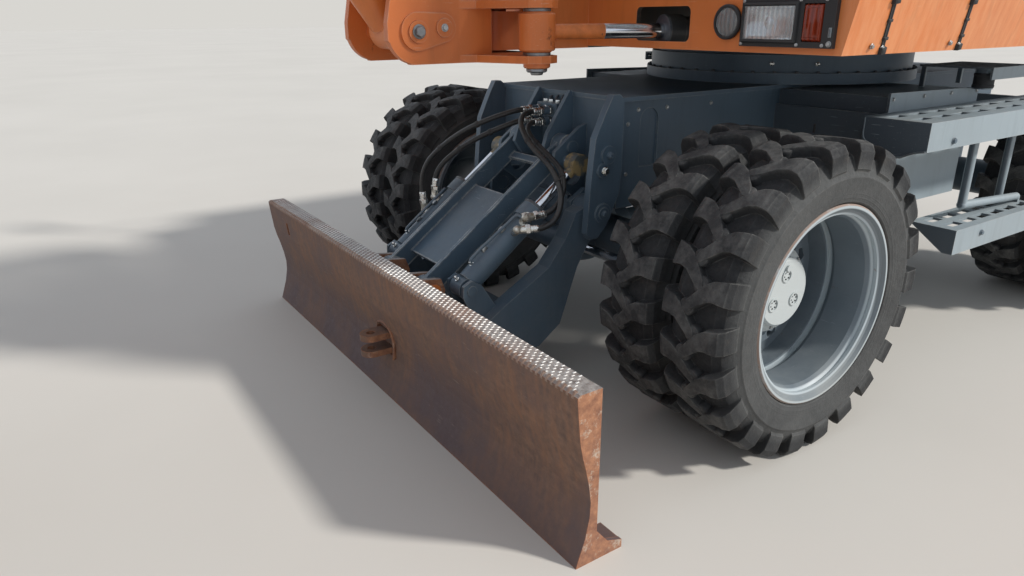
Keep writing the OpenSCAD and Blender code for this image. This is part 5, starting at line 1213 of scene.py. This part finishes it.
def line_the_boom():
    """Steel oil lines on both sides of the boom with their clamps, and caps on every pin."""
    course = [(2330, 2440), (2440, 2600), (2680, 2920), (2900, 3090), (3300, 3200), (4000, 3290), (4950, 3385)]
    for side, hand in SIDES:
        for k, shift in enumerate((-20, 20)):
            line = [(x + shift * 0.6, side * 146, z - shift * 0.8) for x, z in course]
            pipe(f"boom_line_{hand}_{k}", line, 20, boom_orange, "boom", 60, 4)
    clamp = block("boom clamp", (34, 92, 34), black_paint, 4, 0.9, 7, 2, 2)
    spots = []
    for x, z, dx, dz in ((2500, 2680, 0.6, 0.8), (2790, 3005, 0.8, 0.62), (3300, 3200, 0.97, 0.2),
                         (3900, 3276, 0.99, 0.12), (4500, 3340, 0.99, 0.1)):
        for side in (1, -1):
            spots.append(stand(copy_of(clamp), (x, side * 130, z), (0, side, 0), (dx, 0, dz)))
    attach(joined("boom_clamps", *spots), "boom")
    union = turned("line union", [(10, -4), (15, -2), (15, 14), (12, 17), (12, 26), (15, 28), (15, 40), (10, 42)],
                   steel, 6)
    rows = []
    for k, shift in enumerate((-20, 20)):
        for (x, z), (dx, dz) in ((course[0], (-0.57, -0.82)), (course[-1], (0.98, 0.2))):
            rows.append((x + shift * 0.6, 146, z - shift * 0.8, (dx, 0, dz)))
    set_out("boom_line_unions", union, both(rows), "boom")
    bulkhead = block("boom bulkhead", (60, 96, 30), boom_orange, 4, 0.94, 6, -2, 2)
    set_out("boom_bulkheads", bulkhead, both([(2352, 130, 2470, LEFT), (4940, 130, 3383, LEFT)]), "boom",
            (0.57, 0, 0.82))
    disc = turned("pin cap", [(44, -3), (48, -1), (48, 4), (44, 7), (22, 7), (20, 5), (8, 5)], boom_orange, 32)
    lock = shifted(hexagon_bolt("pin cap bolt", 9, cast_steel), z=4)
    capped = joined("capped pin", disc, lock)
    small_cap = turned("small pin cap", [(28, -2), (31, 0), (31, 4), (27, 6), (12, 6), (10, 9), (4, 9)],
                       boom_orange, 24)
    set_out("boom_pin_caps", capped,
            both([(5475, 142, 3440, LEFT), (3750, 104, 3545, LEFT), (3040, 104, 2640, LEFT)]), "boom")
    set_out("arm_pin_caps", capped, both([(5645.8, 98, 3856.3, LEFT), (4836.4, 150, 1882.9, LEFT)]), "arm")
    set_out("arm_small_caps", small_cap, both([(5681.6, 94, 3074.2, LEFT)]), "arm")
    set_out("bucket_pin_caps", small_cap, both([(4699.8, 160, 1549.8, LEFT), (4831, 160, 1236.1, LEFT)]), "bucket")
    set_out("blade_pin_caps", small_cap, both([(2123, 386, 221, LEFT), (2105, 202, 440, LEFT)]), "blade")


def pad(name, size, puff, channels):
    """A sewn cushion on Z: a crowned closed form with channels across its top."""
    bpy.ops.mesh.primitive_cube_add(size=1, location=(0, 0, 0))
    piece = bpy.context.object
    piece.scale = [part / 1000 for part in size]
    bpy.ops.object.transform_apply()
    bpy.ops.object.mode_set(mode="EDIT")
    bpy.ops.mesh.select_all(action="SELECT")
    bpy.ops.mesh.subdivide(number_cuts=11)
    for y in channels:
        choose(piece, lambda where, facing: facing.z > 0.9 and abs(where.y - y / 1000) < size[1] / 24500)
        bpy.ops.mesh.inset(thickness=0.004, depth=-0.004)
        extend(-5)
    bpy.ops.mesh.select_all(action="SELECT")
    bpy.ops.mesh.normals_make_consistent(inside=False)
    bpy.ops.object.mode_set(mode="OBJECT")
    for kind, settings in (("CAST", {"cast_type": "SPHERE", "factor": puff, "size": max(size) / 2000}),
                           ("SMOOTH", {"factor": 0.5, "iterations": 5}),
                           ("SUBSURF", {"levels": 1, "render_levels": 1})):
        bpy.ops.object.modifier_add(type=kind)
        change = piece.modifiers[-1]
        for label, value in settings.items():
            setattr(change, label, value)
        bpy.ops.object.modifier_apply(modifier=change.name)
    bpy.ops.object.shade_smooth()
    piece.name = name
    piece.data.materials.clear()
    piece.data.materials.append(seat_cloth)
    return piece


def upholster_the_seat():
    """Seat in the solid's place: base with bellows, cloth cushion, back and headrest, moulded armrests."""
    for name, size, puff, channels, where, toward, across in (
            ("seat_cushion", (470, 450, 112), 0.10, (-118, 118), (682, 700, 1826), (0.06, 0, 1), (1, 0, -0.06)),
            ("seat_back", (590, 400, 104), 0.09, (-104, 104), (452, 700, 2212), (1, 0, 0.14), (-0.14, 0, 1)),
            ("seat_headrest", (180, 226, 76), 0.12, (), (418, 700, 2606), (1, 0, 0.14), (-0.14, 0, 1))):
        piece = stand(pad(name, size, puff, channels), where, toward, across)
        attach(piece, "upper")
        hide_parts("seat")
    lower = block("seat foot", (340, 360, 60), dark_trim, 5, 0.94, 14, 3)
    folds = turned("seat bellows", [(150, 60), (168, 75), (150, 90), (168, 105), (150, 120), (168, 135), (150, 150),
                                    (168, 165), (150, 180), (140, 186)], black_trim, 40)
    upper = shifted(block("seat pan", (440, 420, 46), dark_trim, 8, 0.97, 16, 3), x=15, z=186)
    base = stand(joined("seat_base", lower, folds, upper), (655, 700, 1533), UP, AHEAD)
    pieces = [base]
    arm = block("armrest", (320, 46, 38), black_trim, 14, 0.94, 0, 0, 4)
    for y in (445, 955):
        pieces.append(stand(copy_of(arm), (640, y, 2041), UP, AHEAD))
    base = joined("seat_base", *pieces)
    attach(base, "upper")
    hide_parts("seat")
    for k, (y, inward) in enumerate(((445, 1), (955, -1))):
        pipe(f"armrest_post_{k}", [(500, y, 2050), (490, y + inward * 30, 2060), (470, y + inward * 70, 2060)],
             24, black_paint, "upper", 10)
    for k, y in enumerate((650, 750)):
        pipe(f"headrest_post_{k}", [(428, y, 2480), (418, y, 2560)], 14, steel, "upper", 5)


def sleeve_the_swing_eye():
    """Broad turned sleeve of the swing cylinder's eye, and the raised ring and boss on the post's foot."""
    hub = turned("swing eye sleeve", [(58, -60), (62, -56), (62, 56), (58, 60), (40, 60)], post_orange, 48)
    set_out("swing_eye_sleeve", hub, [(1750, 350, 1343, UP)], "swing_rod")
    foot = turned("pin foot", [(34, -20), (46, -18), (46, 2), (42, 6), (28, 6), (26, 14), (20, 16), (8, 16)],
                  post_orange, 40)
    set_out("swing_pin_foot", foot, [(1750, 350, 1233, DOWN)], "post")


seal_the_windows()
fit_cab_outside(small_bolt)
fit_body_panels(small_bolt, bright_bolt)
line_the_boom()
upholster_the_seat()
sleeve_the_swing_eye()

for spare in spares:
    bpy.data.objects.remove(spare)

light_the_yard()
